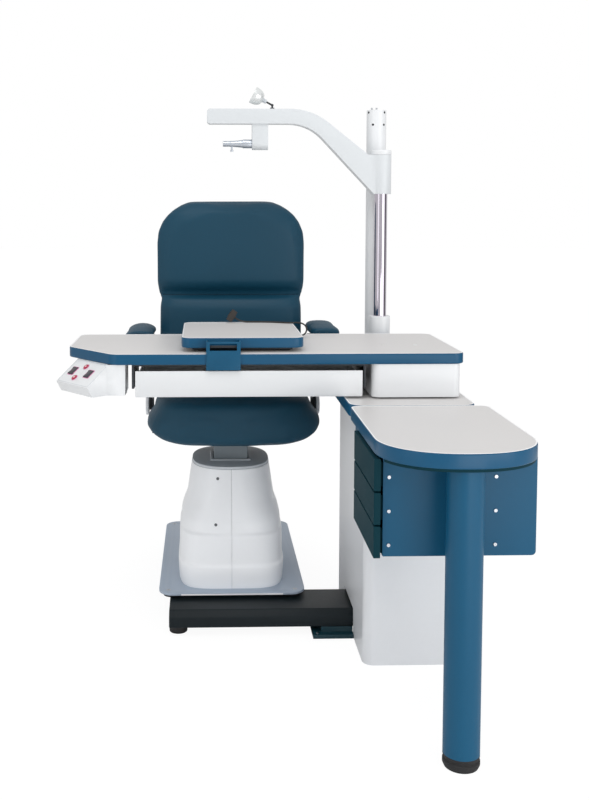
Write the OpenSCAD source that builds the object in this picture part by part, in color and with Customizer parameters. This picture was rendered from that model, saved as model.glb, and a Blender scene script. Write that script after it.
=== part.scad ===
// Ophthalmic examination unit: a patient chair on a lift base, a cabinet that carries a swing
// instrument table, a fixed worktop over three drawers, and a column with a refractor arm.
// Millimetres, +Z up, +X to the right and +Y away from the examiner. Every place is measured
// from the axis about which the instrument table swings, and placed() then moves the whole
// so that the origin lies on the floor under the middle of the unit.

/* [Cabinet] */
// Height of the cabinet's top and of the fixed worktop
unit_h = 730; // [700:5:760]
// Width of the cabinet body
cabinet_w = 286; // [270:2:300]
// Depth of the cabinet body
cabinet_d = 535; // [525:1:545]
// Distance from the swing axis to the cabinet's front face
cabinet_front = 250; // [240:1:260]
// Radius of the cabinet's upright edges
cabinet_r = 30; // [15:1:45]
// Sheet thickness of the cabinet, the housings and the drawers
sheet_t = 3; // [2:0.5:4]
// Thickness of the cabinet top and of the worktop
top_t = 35; // [28:1:42]
// Width of the cabinet top
cabinet_top_w = 348; // [330:2:350]
// Distance by which the cabinet top sits left of the swing axis
cabinet_top_shift = 12; // [0:1:14]
// Overhang of the cabinet top past the front face
cabinet_top_over = 6; // [2:1:12]
// Width of the housing behind the cabinet
rear_w = 150; // [140:2:180]
// Depth of the housing behind the cabinet
rear_d = 205; // [195:1:220]
// Thickness of the edge bands
band_t = 3; // [2:0.5:5]

/* [Worktop] */
// Width of the worktop
worktop_w = 377; // [365:1:390]
// Depth of the worktop from its back edge to the tip of its round front
worktop_d = 543; // [530:1:560]
// Depth of the worktop's round front
worktop_nose = 165; // [140:1:180]
// Gap between the worktop and the cabinet top
worktop_gap = 4; // [2:1:8]
// Diameter of the leg
leg_d = 84; // [70:1:96]
// Distance from the tip of the worktop to the leg's axis
leg_setback = 53; // [50:1:70]
// Height of the rubber foot under the leg
leg_foot_h = 30; // [20:1:40]

/* [Drawer housing] */
// Width of the drawer housing
housing_w = 359; // [350:1:364]
// Height of the drawer housing
housing_h = 237; // [215:1:255]
// Distance from the tip of the worktop to the housing's front panel
housing_setback = 131; // [120:1:145]
// Width of a drawer front, along the unit's depth
drawer_front_w = 305; // [280:1:320]
// Thickness of a drawer front
drawer_front_t = 16; // [10:1:20]
// Gap between two drawer fronts
drawer_gap = 4; // [2:0.5:6]
// Length of a drawer box
drawer_box_l = 320; // [280:5:330]

/* [Swing table] */
// Width of the table
table_w = 1131; // [1110:1:1160]
// Depth of the table
table_d = 458; // [440:1:460]
// Thickness of the table top
table_t = 30; // [24:1:36]
// Distance from the swing axis to the table's right edge
table_right = 151; // [146:1:152]
// Distance from the swing axis to the table's front edge
table_front = 165; // [163:1:170]
// Length of the cut corner along the front edge
cut_w = 141; // [125:1:155]
// Length of the cut corner along the left edge
cut_d = 170; // [150:1:185]
// Corner radius of the table
table_r = 32; // [28:1:40]
// Height of the white box over the swing axis
pivot_box_h = 94; // [92:1:104]
// Width of the white box
pivot_box_w = 251; // [240:1:256]
// Depth of the white box
pivot_box_d = 283; // [260:1:300]
// Gap between the white box and the cabinet top
pivot_box_gap = 5; // [3:0.5:8]
// Diameter of the post on which the table swings
post_d = 50; // [40:1:60]
// Width of the lens drawer
lens_drawer_w = 637; // [610:1:640]
// Height of the lens drawer's front
lens_drawer_h = 74; // [64:1:75]
// Depth of the lens drawer
lens_drawer_d = 212; // [190:1:214]

/* [Sliding tray] */
// Width of the tray
tray_w = 348; // [330:1:370]
// Depth of the tray
tray_d = 400; // [385:1:405]
// Thickness of the tray
tray_t = 29; // [24:1:34]
// Height of the tray's underside over the table
tray_lift = 12; // [11:0.5:15]
// Distance from the swing axis to the tray's middle at rest
tray_x = 473; // [465:1:480]
// Corner radius of the tray
tray_r = 30; // [20:1:40]
// Width of the front bracket
bracket_w = 96; // [90:1:102]
// Height of the front bracket
bracket_h = 80; // [76:1:86]

/* [Chair] */
// Distance from the swing axis to the chair's middle plane, towards the left
chair_x = 498; // [496:1:510]
// Distance from the swing axis back to the lift column's axis
chair_y = 278; // [276:1:284]
// Width of the base plate
plate_w = 450; // [430:2:460]
// Depth of the base plate
plate_d = 713; // [700:1:730]
// Thickness of the base plate
plate_t = 8; // [6:1:10]
// Distance from the lift column's axis to the base plate's front edge
plate_front = 226; // [222:1:234]
// Height of the shroud
shroud_h = 359; // [345:1:370]
// Width of the shroud at its foot
shroud_w = 330; // [315:2:345]
// Depth of the shroud at its foot
shroud_d = 400; // [390:2:410]
// Width of the shroud at its top
shroud_top_w = 248; // [236:2:256]
// Depth of the shroud at its top
shroud_top_d = 294; // [284:2:304]
// Width of the lift column
column_w = 108; // [100:1:116]
// Depth of the lift column
column_d = 100; // [92:1:106]
// Height of the seat pan's top over the floor
pan_z = 540; // [536:1:550]
// Width of the seat cushion
seat_w = 516; // [500:2:516]
// Depth of the seat cushion
seat_d = 500; // [480:2:510]
// Thickness of the seat cushion at its edge
seat_t = 138; // [120:1:142]
// Rise of the seat cushion's crown over its edge
seat_crown = 12; // [6:1:16]
// Gap between the seat cushion's rear and the bars of the back
seat_bar_gap = 40; // [36:1:46]
// Distance of the seat's middle plane to the right of the lift column's axis
seat_shift = 9; // [0:1:12]
// Width of the back cushion
back_w = 498; // [480:2:504]
// Height of the back cushion
back_h = 585; // [570:5:600]
// Thickness of the back cushion
back_t = 110; // [100:1:120]
// Height of the back cushion's crease over its lower edge
crease_h = 262; // [250:1:275]
// Distance from the lift column's axis to the back cushion's front
back_front = 222; // [216:1:230]
// Width of an arm pad
pad_w = 94; // [86:1:94]
// Length of an arm pad
pad_l = 255; // [235:5:255]
// Height of an arm pad
pad_h = 48; // [40:1:54]
// Distance from the chair's middle plane to an arm pad's middle
pad_x = 307; // [306:1:310]
// Height of the arm pads' underside over the cabinet's top
pad_over = 102; // [95:1:110]

/* [Refractor arm] */
// Diameter of the chrome column
chrome_d = 42; // [36:1:44]
// Distance from the swing axis back to the chrome column
chrome_y = 360; // [358:1:364]
// Height of the chrome column's top over the floor
chrome_top = 1456; // [1440:1:1470]
// Outer diameter of the collar round the chrome column
collar_d = 68; // [60:1:70]
// Height of the collar's top over the floor
collar_top = 911; // [900:1:925]
// Distance between the chrome column and the white pole
pole_step = 70; // [69:1:75]
// Diameter of the white pole
pole_d = 65; // [58:1:66]
// Height of the white pole's top over the floor
pole_top = 1592; // [1570:1:1610]
// Distance from the chrome column to the tip of the arm
arm_reach = 572; // [555:1:590]
// Height of the level part of the arm
arm_h = 48; // [44:1:52]
// Thickness of the arm
arm_t = 50; // [44:1:54]
// Height of the arm's top over the floor
arm_top = 1588; // [1575:1:1600]
// Diameter of the arm's hub
hub_d = 66; // [62:1:68]
// Height of the arm's hub
hub_h = 127; // [118:1:132]
// Distance from the chrome column to the hanging bracket's middle
hanger_x = 399; // [385:1:415]
// Width of the hanging bracket
hanger_w = 52; // [46:1:58]
// Radius of the pin's tip, which holds the refractor head
pin_tip_r = 9; // [7:0.5:10]
// Length of the pin's tip
pin_tip_l = 22; // [18:1:26]

/* [Floor beams] */
// Depth of a floor beam
beam_d = 170; // [160:1:180]
// Height of a floor beam
beam_h = 49; // [44:1:54]
// Height of the beams' underside over the floor
beam_z = 26; // [22:1:30]
// Distance from the swing axis to the beams' left ends
beam_left = 688; // [680:1:700]

/* [Hidden] */

$fn = 64;
arc_steps = 8;

// Clearances: slip between parts that slide or stand beside each other, bore_play round a
// shaft, pin_play round a thin pin, and cut by which a cutting shape passes a face
slip = 0.3;
bore_play = 0.05;
pin_play = 0.15;
cut = 1;

// Cabinet
body_top = unit_h - top_t;
cabinet_back = cabinet_d - cabinet_front;
rear_back = cabinet_back + rear_d;
rear_r = 12;
notch_side = 6;
notch_top = 8;
top_front_r = 40;
top_back_r = 12;
top_back_over = 8;

// Worktop and leg
worktop_back = -(cabinet_front + cabinet_top_over + worktop_gap);
worktop_tip = worktop_back - worktop_d;
worktop_join = worktop_tip + worktop_nose;
worktop_corner_r = 24;
nose_power = 2.2;
nose_steps = 40;
leg_wall = 2.5;
leg_cap_t = 4;
leg_y = worktop_tip + leg_setback;
foot_bulge = 0.5;
foot_groove = 3;
foot_plug_h = 18;

// Drawer housing
drawer_count = 3;
housing_front = worktop_tip + housing_setback;
housing_right = worktop_w / 2 - slip;
housing_left = housing_right - housing_w;
housing_z = body_top - housing_h;
housing_foot_r = 10;
drawer_top_gap = 5;
drawer_pitch = (housing_h - drawer_top_gap + drawer_gap) / drawer_count;
front_reach = 13;
front_gap = 7;
drawer_side_gap = 4;
drawer_drop = 10;
drawer_floor_gap = 6;
runner_z = 30;
runner_h = 12;
runner_in = 2;
drawer_y0 = housing_front - front_reach;
drawer_y1 = drawer_y0 + drawer_front_w;
housing_screw_in = 14;
housing_screw_span = 249;
housing_screw_pitch = 80;
housing_screw_z = 27;
screw_head_r = 4;
screw_head_h = 2;
screw_socket_sides = 6;

// Swing table
table_z = unit_h + pivot_box_gap + pivot_box_h;
table_top_z = table_z + table_t;
table_left = table_right - table_w;
table_back = table_d - table_front;
cut_corner_r = 45;
box_side = 11;
box_front = 2;
box_r = 22;
box_wall = 3;
box_hole_d = 160;
bearing_d = 96;
bearing_gap = 10;
bearing_cap = 7;
post_flange_d = 130;
post_flange_t = 4;
post_top_gap = 14;
frame_t = 5;
frame_front = 9;
frame_d = 214;
rail_w = 7;
rail_h = 68;
rail_gap = 3;
lens_right_gap = 27;
lens_set = 5;
lens_front_t = 4;
lens_bevel = 9;
lens_top_gap = 18;
lens_box_gap = 8;
table_screw_r = 7;
table_screw_h = 0.8;
table_screw_pitch = 98;
table_screw_y = 37;

// Control box with its sloping console
block_x = -855;
block_w = 52;
block_d = 118;
control_h = 86;
cut_angle = atan2(cut_d, -cut_w);
console_l = 160;
console_in = 70;
console_top_in = 10;
console_out = 64;
console_drop = 57;
console_lip = 48;
panel_angle = atan2(console_drop, console_out + console_top_in);
panel_l = norm([console_drop, console_out + console_top_in]);
rocker_l = 28;
rocker_w = 24;
rocker_axis = 3;
rocker_depth = 10;
rocker_high = 3.5;
rocker_low = 1.2;
button_r = 8;
button_h = 12;
button_proud = 3.5;
// Places on the sloping panel as shares of its length and of its slope, from the upper right
rocker_shares = [[0.80, 0.50], [0.30, 0.50]];
button_shares = [[0.545, 0.26], [0.585, 0.74]];

// Sliding tray
tray_z = table_top_z + tray_lift;
tray_front_in = 37;
tray_front = tray_front_in - table_front;
tray_left = -tray_x - tray_w / 2;
carriage_w = 286;
carriage_in = 30;
carriage_d = 290;
carriage_t = 8;
glide_r = 15;
glide_in = 20;
gland_r = 4.5;
gland_l = 10;
gland_y = 168;
gland_drop = 6;
bracket_t = 4;
bracket_in = 70;
bracket_drop = 15;
bracket_x0 = tray_left + bracket_in;
bracket_x1 = bracket_x0 + bracket_w;
bracket_y = -table_front - slip;
bracket_z = table_z - bracket_drop;
bracket_side = 3;
tongue_l = 40;
window_w = 76;
window_h = 20;
window_top = 5;
latch_l = 74;
latch_h = 6;
latch_t = 5;
latch_pin_r = 1.5;
latch_in = 10;
latch_y = bracket_y + latch_in;
latch_z = bracket_z + bracket_h - window_top - window_h / 2;

// Cable, from its gland on the carriage to the connector that leans on the tray
cable_r = 2.5;
cable_sides = 8;
cable_route = [[-319.9, 168, 865], [-308, 168, 865], [-296, 169, 865.3], [-283, 172, 866.8],
    [-270, 178, 871], [-262, 186, 879], [-260, 195, 888.5], [-264, 203, 897],
    [-273, 209, 902.5], [-286, 214, 904.5], [-300, 219, 903.8], [-315, 226, 903.1],
    [-330, 234, 902.9], [-346, 242, 902.9], [-364, 249, 902.9], [-382, 253, 902.9],
    [-400, 256, 902.9], [-418, 257.5, 902.9], [-434, 258, 902.9], [-449, 258, 903.2],
    [-462, 258, 905.2], [-473.5, 258, 909.6], [-484.2, 258, 916.36]];
connector_w = 22;
connector_t = 12;
connector_h = 38;
connector_lean = 33;
connector_at = [-493.5, 258, 922.5];

// Base and pedestal
column_at = [-chair_x, chair_y];
beam_top = beam_z + beam_h;
pad_step = 10;
plate_z = beam_top + pad_step;
floor_z = plate_z + plate_t;
plate_y0 = chair_y - plate_front;
plate_y1 = plate_y0 + plate_d;
plate_x0 = -(chair_x + plate_w / 2);
plate_r = 46;
beam_ahead = 100;
beam_y = plate_y0 - beam_ahead;
beam_bevel = 18;
beam_end = 60;
rear_beam_in = 150;
rear_beam_d = 110;
rear_beam_l = 400;
rear_beam_y = plate_y1 - rear_beam_in;
foot_r = 27;
foot_in = 45;
pad_r = 25;
pad_in = 38;
pad_back_in = 76;
joint_left = 263;
joint_front = 26;
joint_t = 12;
plate_screw_r = 7;
plate_screw_in = 30;
plate_screw_h = 2.5;
shroud_back = 7;
shroud_y = chair_y + shroud_back;
shroud_wall = 4;
seam = 0.6;
shroud_power = 4.6;
shroud_top_power = 2.5;
shroud_points = 44;
// Sections of the shroud from its foot up: height as a share of its height, then width, depth
// and roundness as shares of the way from top to foot, or from foot to top for the roundness
shroud_shares = [[0, 0.93, 0.985, 0], [0.03, 1, 1, 0], [0.17, 1.06, 1.02, 0],
    [0.21, 0.99, 0.92, 0.05], [0.44, 0.95, 0.88, 0.35], [0.48, 0.88, 0.79, 0.45],
    [0.56, 0.8, 0.66, 0.6], [0.63, 0.62, 0.56, 0.75], [0.7, 0.4, 0.46, 0.85],
    [0.85, 0.2, 0.25, 1], [1, 0, 0, 1]];
cap_t = 9;
cap_in = 1;
cap_rim_w = 8;
cap_rim_h = 5;
cap_play = 2;
guide_gap = 2;
guide_wall = 5;
guide_h = 300;
column_wall = 5;
column_foot = 150;
actuator_r = 24;
actuator_h = 260;
actuator_floor = 65;
rod_r = 12;
rod_foot = 117;

// Chair
pan_t = 8;
pan_w = 300;
pan_d = 310;
pan_front = 58;
seat_x = chair_x - seat_shift;
seat_front = seat_d + seat_bar_gap - back_front - back_t;
pad_z = unit_h + pad_over;
ear_x = 259;
ear_t = 5;
ear_w = 46;
ear_y = 52;
ear_bar_in = 130;
hinge_r = 6;
hinge_z = 622;
cap_r = 33;
cap_w = 11;
support_x = ear_x + ear_t + slip;
support_t = 9;
support_w = 34;
pad_rail_t = 6;
pad_rail_l = 221;
pad_rail_x = 12;
pad_y = 37;
pad_power = 2.9;
pad_points = 20;
seat_roll = 52;
seat_pull = 6;
seat_power = 4.2;
side_steps = 10;
cushion_points = 44;
back_gap = 15;
back_z = pan_z + seat_t + seat_crown + back_gap;
back_top_r = 140;
back_low_r = 60;
back_low_w = 480;
back_power = 3.4;
crease_depth = 26;
crease_reach = 24;
crease_pull = 7;
lumbar = 10;
shell_t = 18;
shell_in = 22;
back_bar_w = 60;
back_bar_d = 10;
back_bar_x = 110;

// Columns and refractor arm
collar_foot = 650;
chrome_foot = 380;
ring_h = 16;
edge_r = 0.5;
arm_low = arm_top - arm_h;
hub_top = chrome_top - ring_h;
hub_low = hub_top - hub_h;
arm_tip_r = 10;
arm_bend_x = 232;
arm_bend_r = 201;
arm_under_x = 241;
arm_under_r = 150;
arm_shoulder = 46;
arm_root = 27;
hanger_h = 84;
hanger_t = 40;
hanger_left = -hanger_x - hanger_w / 2;
pin_z = arm_low - hanger_h + hanger_t / 2;
pin_bore_l = 42;
pin_tail_r = 8;
pin_tail_l = 39;
pin_root_r = 14.3;
pin_root_l = 30;
pin_mid_r = 12.5;
pin_taper_l = 31;
pin_stop_r = 9.8;
pin_stop_l = 12;
pin_ease_l = 3;
pin_l = pin_root_l + pin_taper_l + pin_stop_l + pin_tip_l;
thumb_r = 3;
thumb_l = 7;
thumb_head_r = 5;
thumb_head_l = 6;
pole_x = -5;
pole_wall = 4;
stud_pitch = 16;
stud_r = 3;
stud_h = 9;
pole_hole_r = 3;
pole_hole_drop = 8;
pole_hole_step = 41;
pole_high_angles = [-61, 44];
pole_low_angles = [-30, 39];

// Lamp on the arm
lamp_x = 359;
lamp_base_r = 7;
lamp_base_h = 5;
neck_r = 3;
neck_knuckle_r = 4.5;
head_dx = 46;
head_dz = 38;
head_r = 26;
head_l = 34;
head_lean = 62;
head_wall = 2;
head_back_r = 9;
head_floor = 6;
dish_power = 0.6;
dish_steps = 6;
socket_r = 7;
socket_l = 14;
neck_h = head_dz - head_dx / tan(head_lean);
neck_l = head_dx / sin(head_lean) - head_l / 2 - socket_l;

// The middle of the unit's footprint
x_min = block_x + console_l * cos(cut_angle) - console_out * sin(cut_angle);
x_max = worktop_w / 2;
module placed() translate([-(x_min + x_max) / 2, -(worktop_tip + plate_y1) / 2, 0]) children();

// Outlines: every corner of a list of points gets its own radius
function unit_vector(v) = v / norm(v);
function neighbour(points, i) = points[(i + len(points)) % len(points)];
function corner(before, at, after, r) =
    let (u = unit_vector(before - at), v = unit_vector(after - at), half = acos(u * v) / 2)
    let (centre = at + unit_vector(u + v) * (r / sin(half)))
    let (from = at + u * (r / tan(half)) - centre, to = at + v * (r / tan(half)) - centre)
    let (start = atan2(from.y, from.x), turn = (atan2(to.y, to.x) - start + 540) % 360 - 180)
    [for (k = [0:arc_steps]) let (a = start + turn * k / arc_steps)
        centre + r * [cos(a), sin(a)]];
function rounded(points, radii) =
    [for (i = [0:len(points) - 1]) each
        corner(neighbour(points, i - 1), points[i], neighbour(points, i + 1), radii[i])];
function inset(points, t) =
    [for (i = [0:len(points) - 1])
        let (u = unit_vector(neighbour(points, i - 1) - points[i]))
        let (v = unit_vector(neighbour(points, i + 1) - points[i]))
        points[i] + unit_vector(u + v) * (t / sin(acos(u * v) / 2))];
function smaller(radii, t) = [for (r = radii) r - t];
function box_points(x0, y0, x1, y1) = [[x0, y0], [x1, y0], [x1, y1], [x0, y1]];
module slab(points, radii, z, t) translate([0, 0, z]) linear_extrude(t)
    polygon(rounded(points, radii));
module core(points, radii, z, t, wall) slab(inset(points, wall), smaller(radii, wall), z, t);
module band(points, radii, z, t) difference() {
    slab(points, radii, z, t);
    core(points, radii, z - cut, t + 2 * cut, band_t);
}
module block(x0, y0, z0, x1, y1, z1) translate([x0, y0, z0]) cube([x1 - x0, y1 - y0, z1 - z0]);
module along_x(x0, length, radius, y, z) translate([x0, y, z]) rotate([0, 90, 0])
    cylinder(h = length, r = radius);

// Closed forms through rings of points
function ring(cx, cy, z, hw, hd, power, count) =
    [for (k = [0:count - 1]) let (c = cos(360 * k / count), s = sin(360 * k / count))
        [cx + hw * sign(c) * pow(abs(c), 2 / power), cy + hd * sign(s) * pow(abs(s), 2 / power), z]];
module loft(rings) {
    n = len(rings[0]);
    m = len(rings);
    sides = [for (i = [0:m - 2], k = [0:n - 1]) each [
        [i * n + k, (i + 1) * n + k, (i + 1) * n + (k + 1) % n],
        [i * n + k, (i + 1) * n + (k + 1) % n, i * n + (k + 1) % n]]];
    caps = [[for (k = [0:n - 1]) k], [for (k = [n - 1:-1:0]) (m - 1) * n + k]];
    polyhedron(points = [for (r = rings) each r], faces = concat(sides, caps));
}

// Floor beams, base plate and pedestal
module beam(x0, x1, y0, d) translate([x0, 0, 0]) rotate([90, 0, 90]) linear_extrude(x1 - x0)
    polygon([[y0, beam_z], [y0 + d, beam_z], [y0 + d, beam_top], [y0 + beam_bevel, beam_top],
        [y0, beam_top - beam_bevel]]);
module base_beams() placed() color("#2d343c") {
    beam(-beam_left, beam_end - cabinet_w / 2, beam_y, beam_d);
    beam(-beam_left, rear_beam_l - beam_left, rear_beam_y, rear_beam_d);
}
module rubber_feet() placed() color("#16181a") {
    for (at = [[-beam_left + foot_r, beam_y + foot_in],
        [-beam_left + foot_r, rear_beam_y + rear_beam_d / 2],
        [rear_beam_l - beam_left - foot_r, rear_beam_y + rear_beam_d / 2]])
        translate([at.x, at.y, 0]) cylinder(h = beam_z, r = foot_r);
    for (x = [plate_x0 + pad_in, plate_x0 + plate_w - pad_in],
        y = [plate_y0 + pad_in, plate_y1 - pad_back_in])
        translate([x, y, beam_top]) cylinder(h = pad_step, r = pad_r);
}
module joint_plate() placed() color("#1f3a40") {
    y0 = beam_y - joint_front;
    block(-joint_left, y0, 0, -cabinet_w / 2, y0 + beam_d, joint_t);
    block(-joint_left + joint_front, beam_y, joint_t, -cabinet_w / 2, y0 + beam_d, beam_z);
}
plate_screws = [for (x = [plate_x0 + plate_screw_in, plate_x0 + plate_w - plate_screw_in],
    y = [plate_y0 + plate_screw_in, plate_y1 - plate_screw_in]) [x, y, floor_z - plate_screw_h]];
module base_plate() placed() color("#969eac") difference() {
    slab(box_points(plate_x0, plate_y0, plate_x0 + plate_w, plate_y1),
        [plate_r, plate_r, plate_r, plate_r], plate_z, plate_t);
    for (at = plate_screws) translate(at) cylinder(h = plate_t, r = plate_screw_r + bore_play);
}
module socket_screw(r, h) difference() {
    cylinder(h = h, r = r);
    translate([0, 0, h / 2]) cylinder(h = h, r = r / 2, $fn = screw_socket_sides);
}
module frame_screws() placed() color("#c9ccd0") {
    for (at = plate_screws) translate(at) socket_screw(plate_screw_r, plate_screw_h);
    for (x = [0, housing_screw_span], k = [0:2])
        translate([housing_left + housing_screw_in + x, housing_front,
            housing_z + housing_screw_z + k * housing_screw_pitch])
        rotate([90, 0, 0]) socket_screw(screw_head_r, screw_head_h);
    translate([-joint_left + joint_front / 2, beam_y - joint_front / 2, joint_t])
        socket_screw(screw_head_r, screw_head_h);
}
function shroud_ring(share, wall, z) =
    ring(column_at.x, shroud_y, z,
        (shroud_top_w + (shroud_w - shroud_top_w) * share[1]) / 2 - wall,
        (shroud_top_d + (shroud_d - shroud_top_d) * share[2]) / 2 - wall,
        shroud_power + (shroud_top_power - shroud_power) * share[3], shroud_points);
module shroud_half(side) difference() {
    loft([for (s = shroud_shares) shroud_ring(s, 0, floor_z + shroud_h * s[0])]);
    loft([for (s = shroud_shares) shroud_ring(s, shroud_wall,
        floor_z - cut + (shroud_h + 2 * cut) * s[0])]);
    translate([column_at.x - side * (shroud_w - seam / 2), shroud_y, floor_z + shroud_h / 2])
        cube(2 * [shroud_w, shroud_d, shroud_h], center = true);
}
module shroud_left() placed() color("#e6e8eb") shroud_half(-1);
module shroud_right() placed() color("#e6e8eb") shroud_half(1);
module shroud_cap() placed() color("#6c6f73") {
    hole = [column_w, column_d] + 2 * [cap_play, cap_play];
    difference() {
        union() {
            translate([0, 0, floor_z + shroud_h]) linear_extrude(cap_t) polygon(
                [for (p = ring(column_at.x, shroud_y, 0, shroud_top_w / 2 - cap_in,
                    shroud_top_d / 2 - cap_in, shroud_top_power, shroud_points)) [p.x, p.y]]);
            translate([column_at.x, column_at.y, floor_z + shroud_h + cap_t])
                linear_extrude(cap_rim_h)
                square(hole + 2 * [cap_rim_w, cap_rim_w], center = true);
        }
        translate([column_at.x, column_at.y, floor_z + shroud_h - cut])
            linear_extrude(cap_t + cap_rim_h + 2 * cut) square(hole, center = true);
    }
}
module square_tube(w, d, wall, z0, z1) translate([column_at.x, column_at.y, z0])
    linear_extrude(z1 - z0) difference() {
        square([w, d], center = true);
        square([w - 2 * wall, d - 2 * wall], center = true);
    }
module lift_guide() placed() color("#8a8f96") {
    edge = 2 * (guide_gap + guide_wall);
    square_tube(column_w + edge, column_d + edge, guide_wall, floor_z, floor_z + guide_h);
}
module actuator_body() placed() color("#3a3d42")
    translate([column_at.x, column_at.y, floor_z]) difference() {
        cylinder(h = actuator_h, r = actuator_r);
        translate([0, 0, actuator_floor]) cylinder(h = actuator_h, r = rod_r + bore_play);
    }
module lift_column() placed() color("#6a6e73") {
    top = pan_z - pan_t - column_wall;
    square_tube(column_w, column_d, column_wall, floor_z + column_foot, top);
    translate([column_at.x, column_at.y, top]) linear_extrude(column_wall)
        square([column_w, column_d], center = true);
    translate([column_at.x, column_at.y, floor_z + rod_foot])
        cylinder(h = top - floor_z - rod_foot, r = rod_r);
}

// Cabinet, worktop and drawers
cabinet_points = box_points(-cabinet_w / 2, -cabinet_front, cabinet_w / 2, cabinet_back);
cabinet_radii = [cabinet_r, cabinet_r, cabinet_r, cabinet_r];
module cabinet_body() placed() color("#d0d2d5") difference() {
    slab(cabinet_points, cabinet_radii, 0, body_top);
    core(cabinet_points, cabinet_radii, -cut, body_top - sheet_t + cut, sheet_t);
    block(-cabinet_w, beam_y - notch_side, -cut, 0, beam_y + beam_d + notch_side,
        beam_top + notch_top);
}
top_left = -cabinet_top_shift - cabinet_top_w / 2;
top_points = box_points(top_left, -cabinet_front - cabinet_top_over, top_left + cabinet_top_w,
    rear_back + top_back_over);
top_radii = [top_front_r, top_front_r, top_back_r, top_back_r];
module cabinet_top() placed() color("#d9d7d5") difference() {
    core(top_points, top_radii, body_top, top_t, band_t);
    translate([0, chrome_y, body_top - cut])
        cylinder(h = top_t + 2 * cut, r = collar_d / 2 + bore_play);
}
module cabinet_band() placed() color("#24506f") band(top_points, top_radii, body_top, top_t);
rear_points = box_points(-rear_w / 2, cabinet_back, rear_w / 2, rear_back);
rear_radii = [rear_r, rear_r, rear_r, rear_r];
module rear_housing() placed() color("#c6c9cc") difference() {
    slab(rear_points, rear_radii, 0, body_top);
    core(rear_points, rear_radii, sheet_t, body_top, sheet_t);
}
function worktop_outline(shrink) =
    let (w = worktop_w / 2 - shrink, back = worktop_back - shrink, r = worktop_corner_r - shrink)
    let (nose = worktop_nose - shrink)
    concat(corner([w, worktop_join], [w, back], [-w, back], r),
        corner([w, back], [-w, back], [-w, worktop_join], r),
        [for (k = [0:nose_steps]) let (a = 180 + 180 * k / nose_steps)
            [w * sign(cos(a)) * pow(abs(cos(a)), 2 / nose_power),
             worktop_join - nose * pow(abs(sin(a)), 2 / nose_power)]]);
module worktop_slab(shrink, z, t) translate([0, 0, z]) linear_extrude(t)
    polygon(worktop_outline(shrink));
module worktop() placed() color("#d9d7d5") worktop_slab(band_t, body_top, top_t);
module worktop_band() placed() color("#1d5f92") difference() {
    worktop_slab(0, body_top, top_t);
    worktop_slab(band_t, body_top - cut, top_t + 2 * cut);
}
module leg_tube() placed() color("#1f5f85") translate([0, leg_y, 0]) difference() {
    translate([0, 0, leg_foot_h]) cylinder(h = body_top - leg_foot_h, r = leg_d / 2);
    translate([0, 0, leg_foot_h - cut])
        cylinder(h = body_top - leg_foot_h - leg_cap_t + cut, r = leg_d / 2 - leg_wall);
}
module leg_foot() placed() color("#1b1a1c") translate([0, leg_y, 0]) {
    r = leg_d / 2;
    plug_r = r - leg_wall - bore_play;
    rotate_extrude() polygon([[0, 0], [r - foot_groove, 0], [r + foot_bulge, leg_foot_h * 0.25],
        [r + foot_bulge, leg_foot_h * 0.5], [r - foot_groove, leg_foot_h * 0.6],
        [r - foot_groove, leg_foot_h * 0.8], [r, leg_foot_h * 0.88], [r, leg_foot_h],
        [plug_r, leg_foot_h], [plug_r, leg_foot_h + foot_plug_h], [0, leg_foot_h + foot_plug_h]]);
}
housing_points = box_points(housing_left, housing_z, housing_right, body_top);
module drawer_housing() placed() color("#1f6288") {
    bay_y0 = housing_front + sheet_t;
    bay_y1 = drawer_y1 + drawer_side_gap;
    difference() {
        translate([0, -cabinet_front, 0]) rotate([90, 0, 0])
            linear_extrude(-cabinet_front - housing_front)
            polygon(rounded(housing_points, [sheet_t, housing_foot_r, sheet_t, sheet_t]));
        block(housing_left - cut, bay_y0, housing_z + sheet_t,
            housing_right - sheet_t, bay_y1, body_top - sheet_t);
        block(housing_left + sheet_t, bay_y1 + sheet_t, housing_z + sheet_t,
            housing_right - sheet_t, cut - cabinet_front, body_top - sheet_t);
    }
    for (k = [0:drawer_count - 1], y = [[bay_y0, bay_y0 + drawer_side_gap - slip],
        [drawer_y1 - drawer_side_gap + slip, bay_y1]]) {
        z = housing_z + k * drawer_pitch + runner_z;
        block(housing_left + sheet_t, y[0], z, housing_left + drawer_box_l - front_gap, y[1],
            z + runner_h);
    }
}
module side_drawer(k) placed() color("#1f5470") {
    z0 = housing_z + k * drawer_pitch;
    z1 = z0 + drawer_pitch - drawer_gap;
    x0 = housing_left - front_gap;
    box_y0 = housing_front + sheet_t + drawer_side_gap;
    block(x0 - drawer_front_t, drawer_y0, z0, x0, drawer_y1, z1);
    difference() {
        block(x0, box_y0, z0 + drawer_floor_gap, x0 + drawer_box_l,
            drawer_y1 - drawer_side_gap, z1 - drawer_drop);
        block(x0, box_y0 + sheet_t, z0 + drawer_floor_gap + sheet_t,
            x0 + drawer_box_l - sheet_t, drawer_y1 - drawer_side_gap - sheet_t, z1);
    }
}
module drawer_top() side_drawer(2);
module drawer_middle() side_drawer(1);
module drawer_bottom() side_drawer(0);

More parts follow.
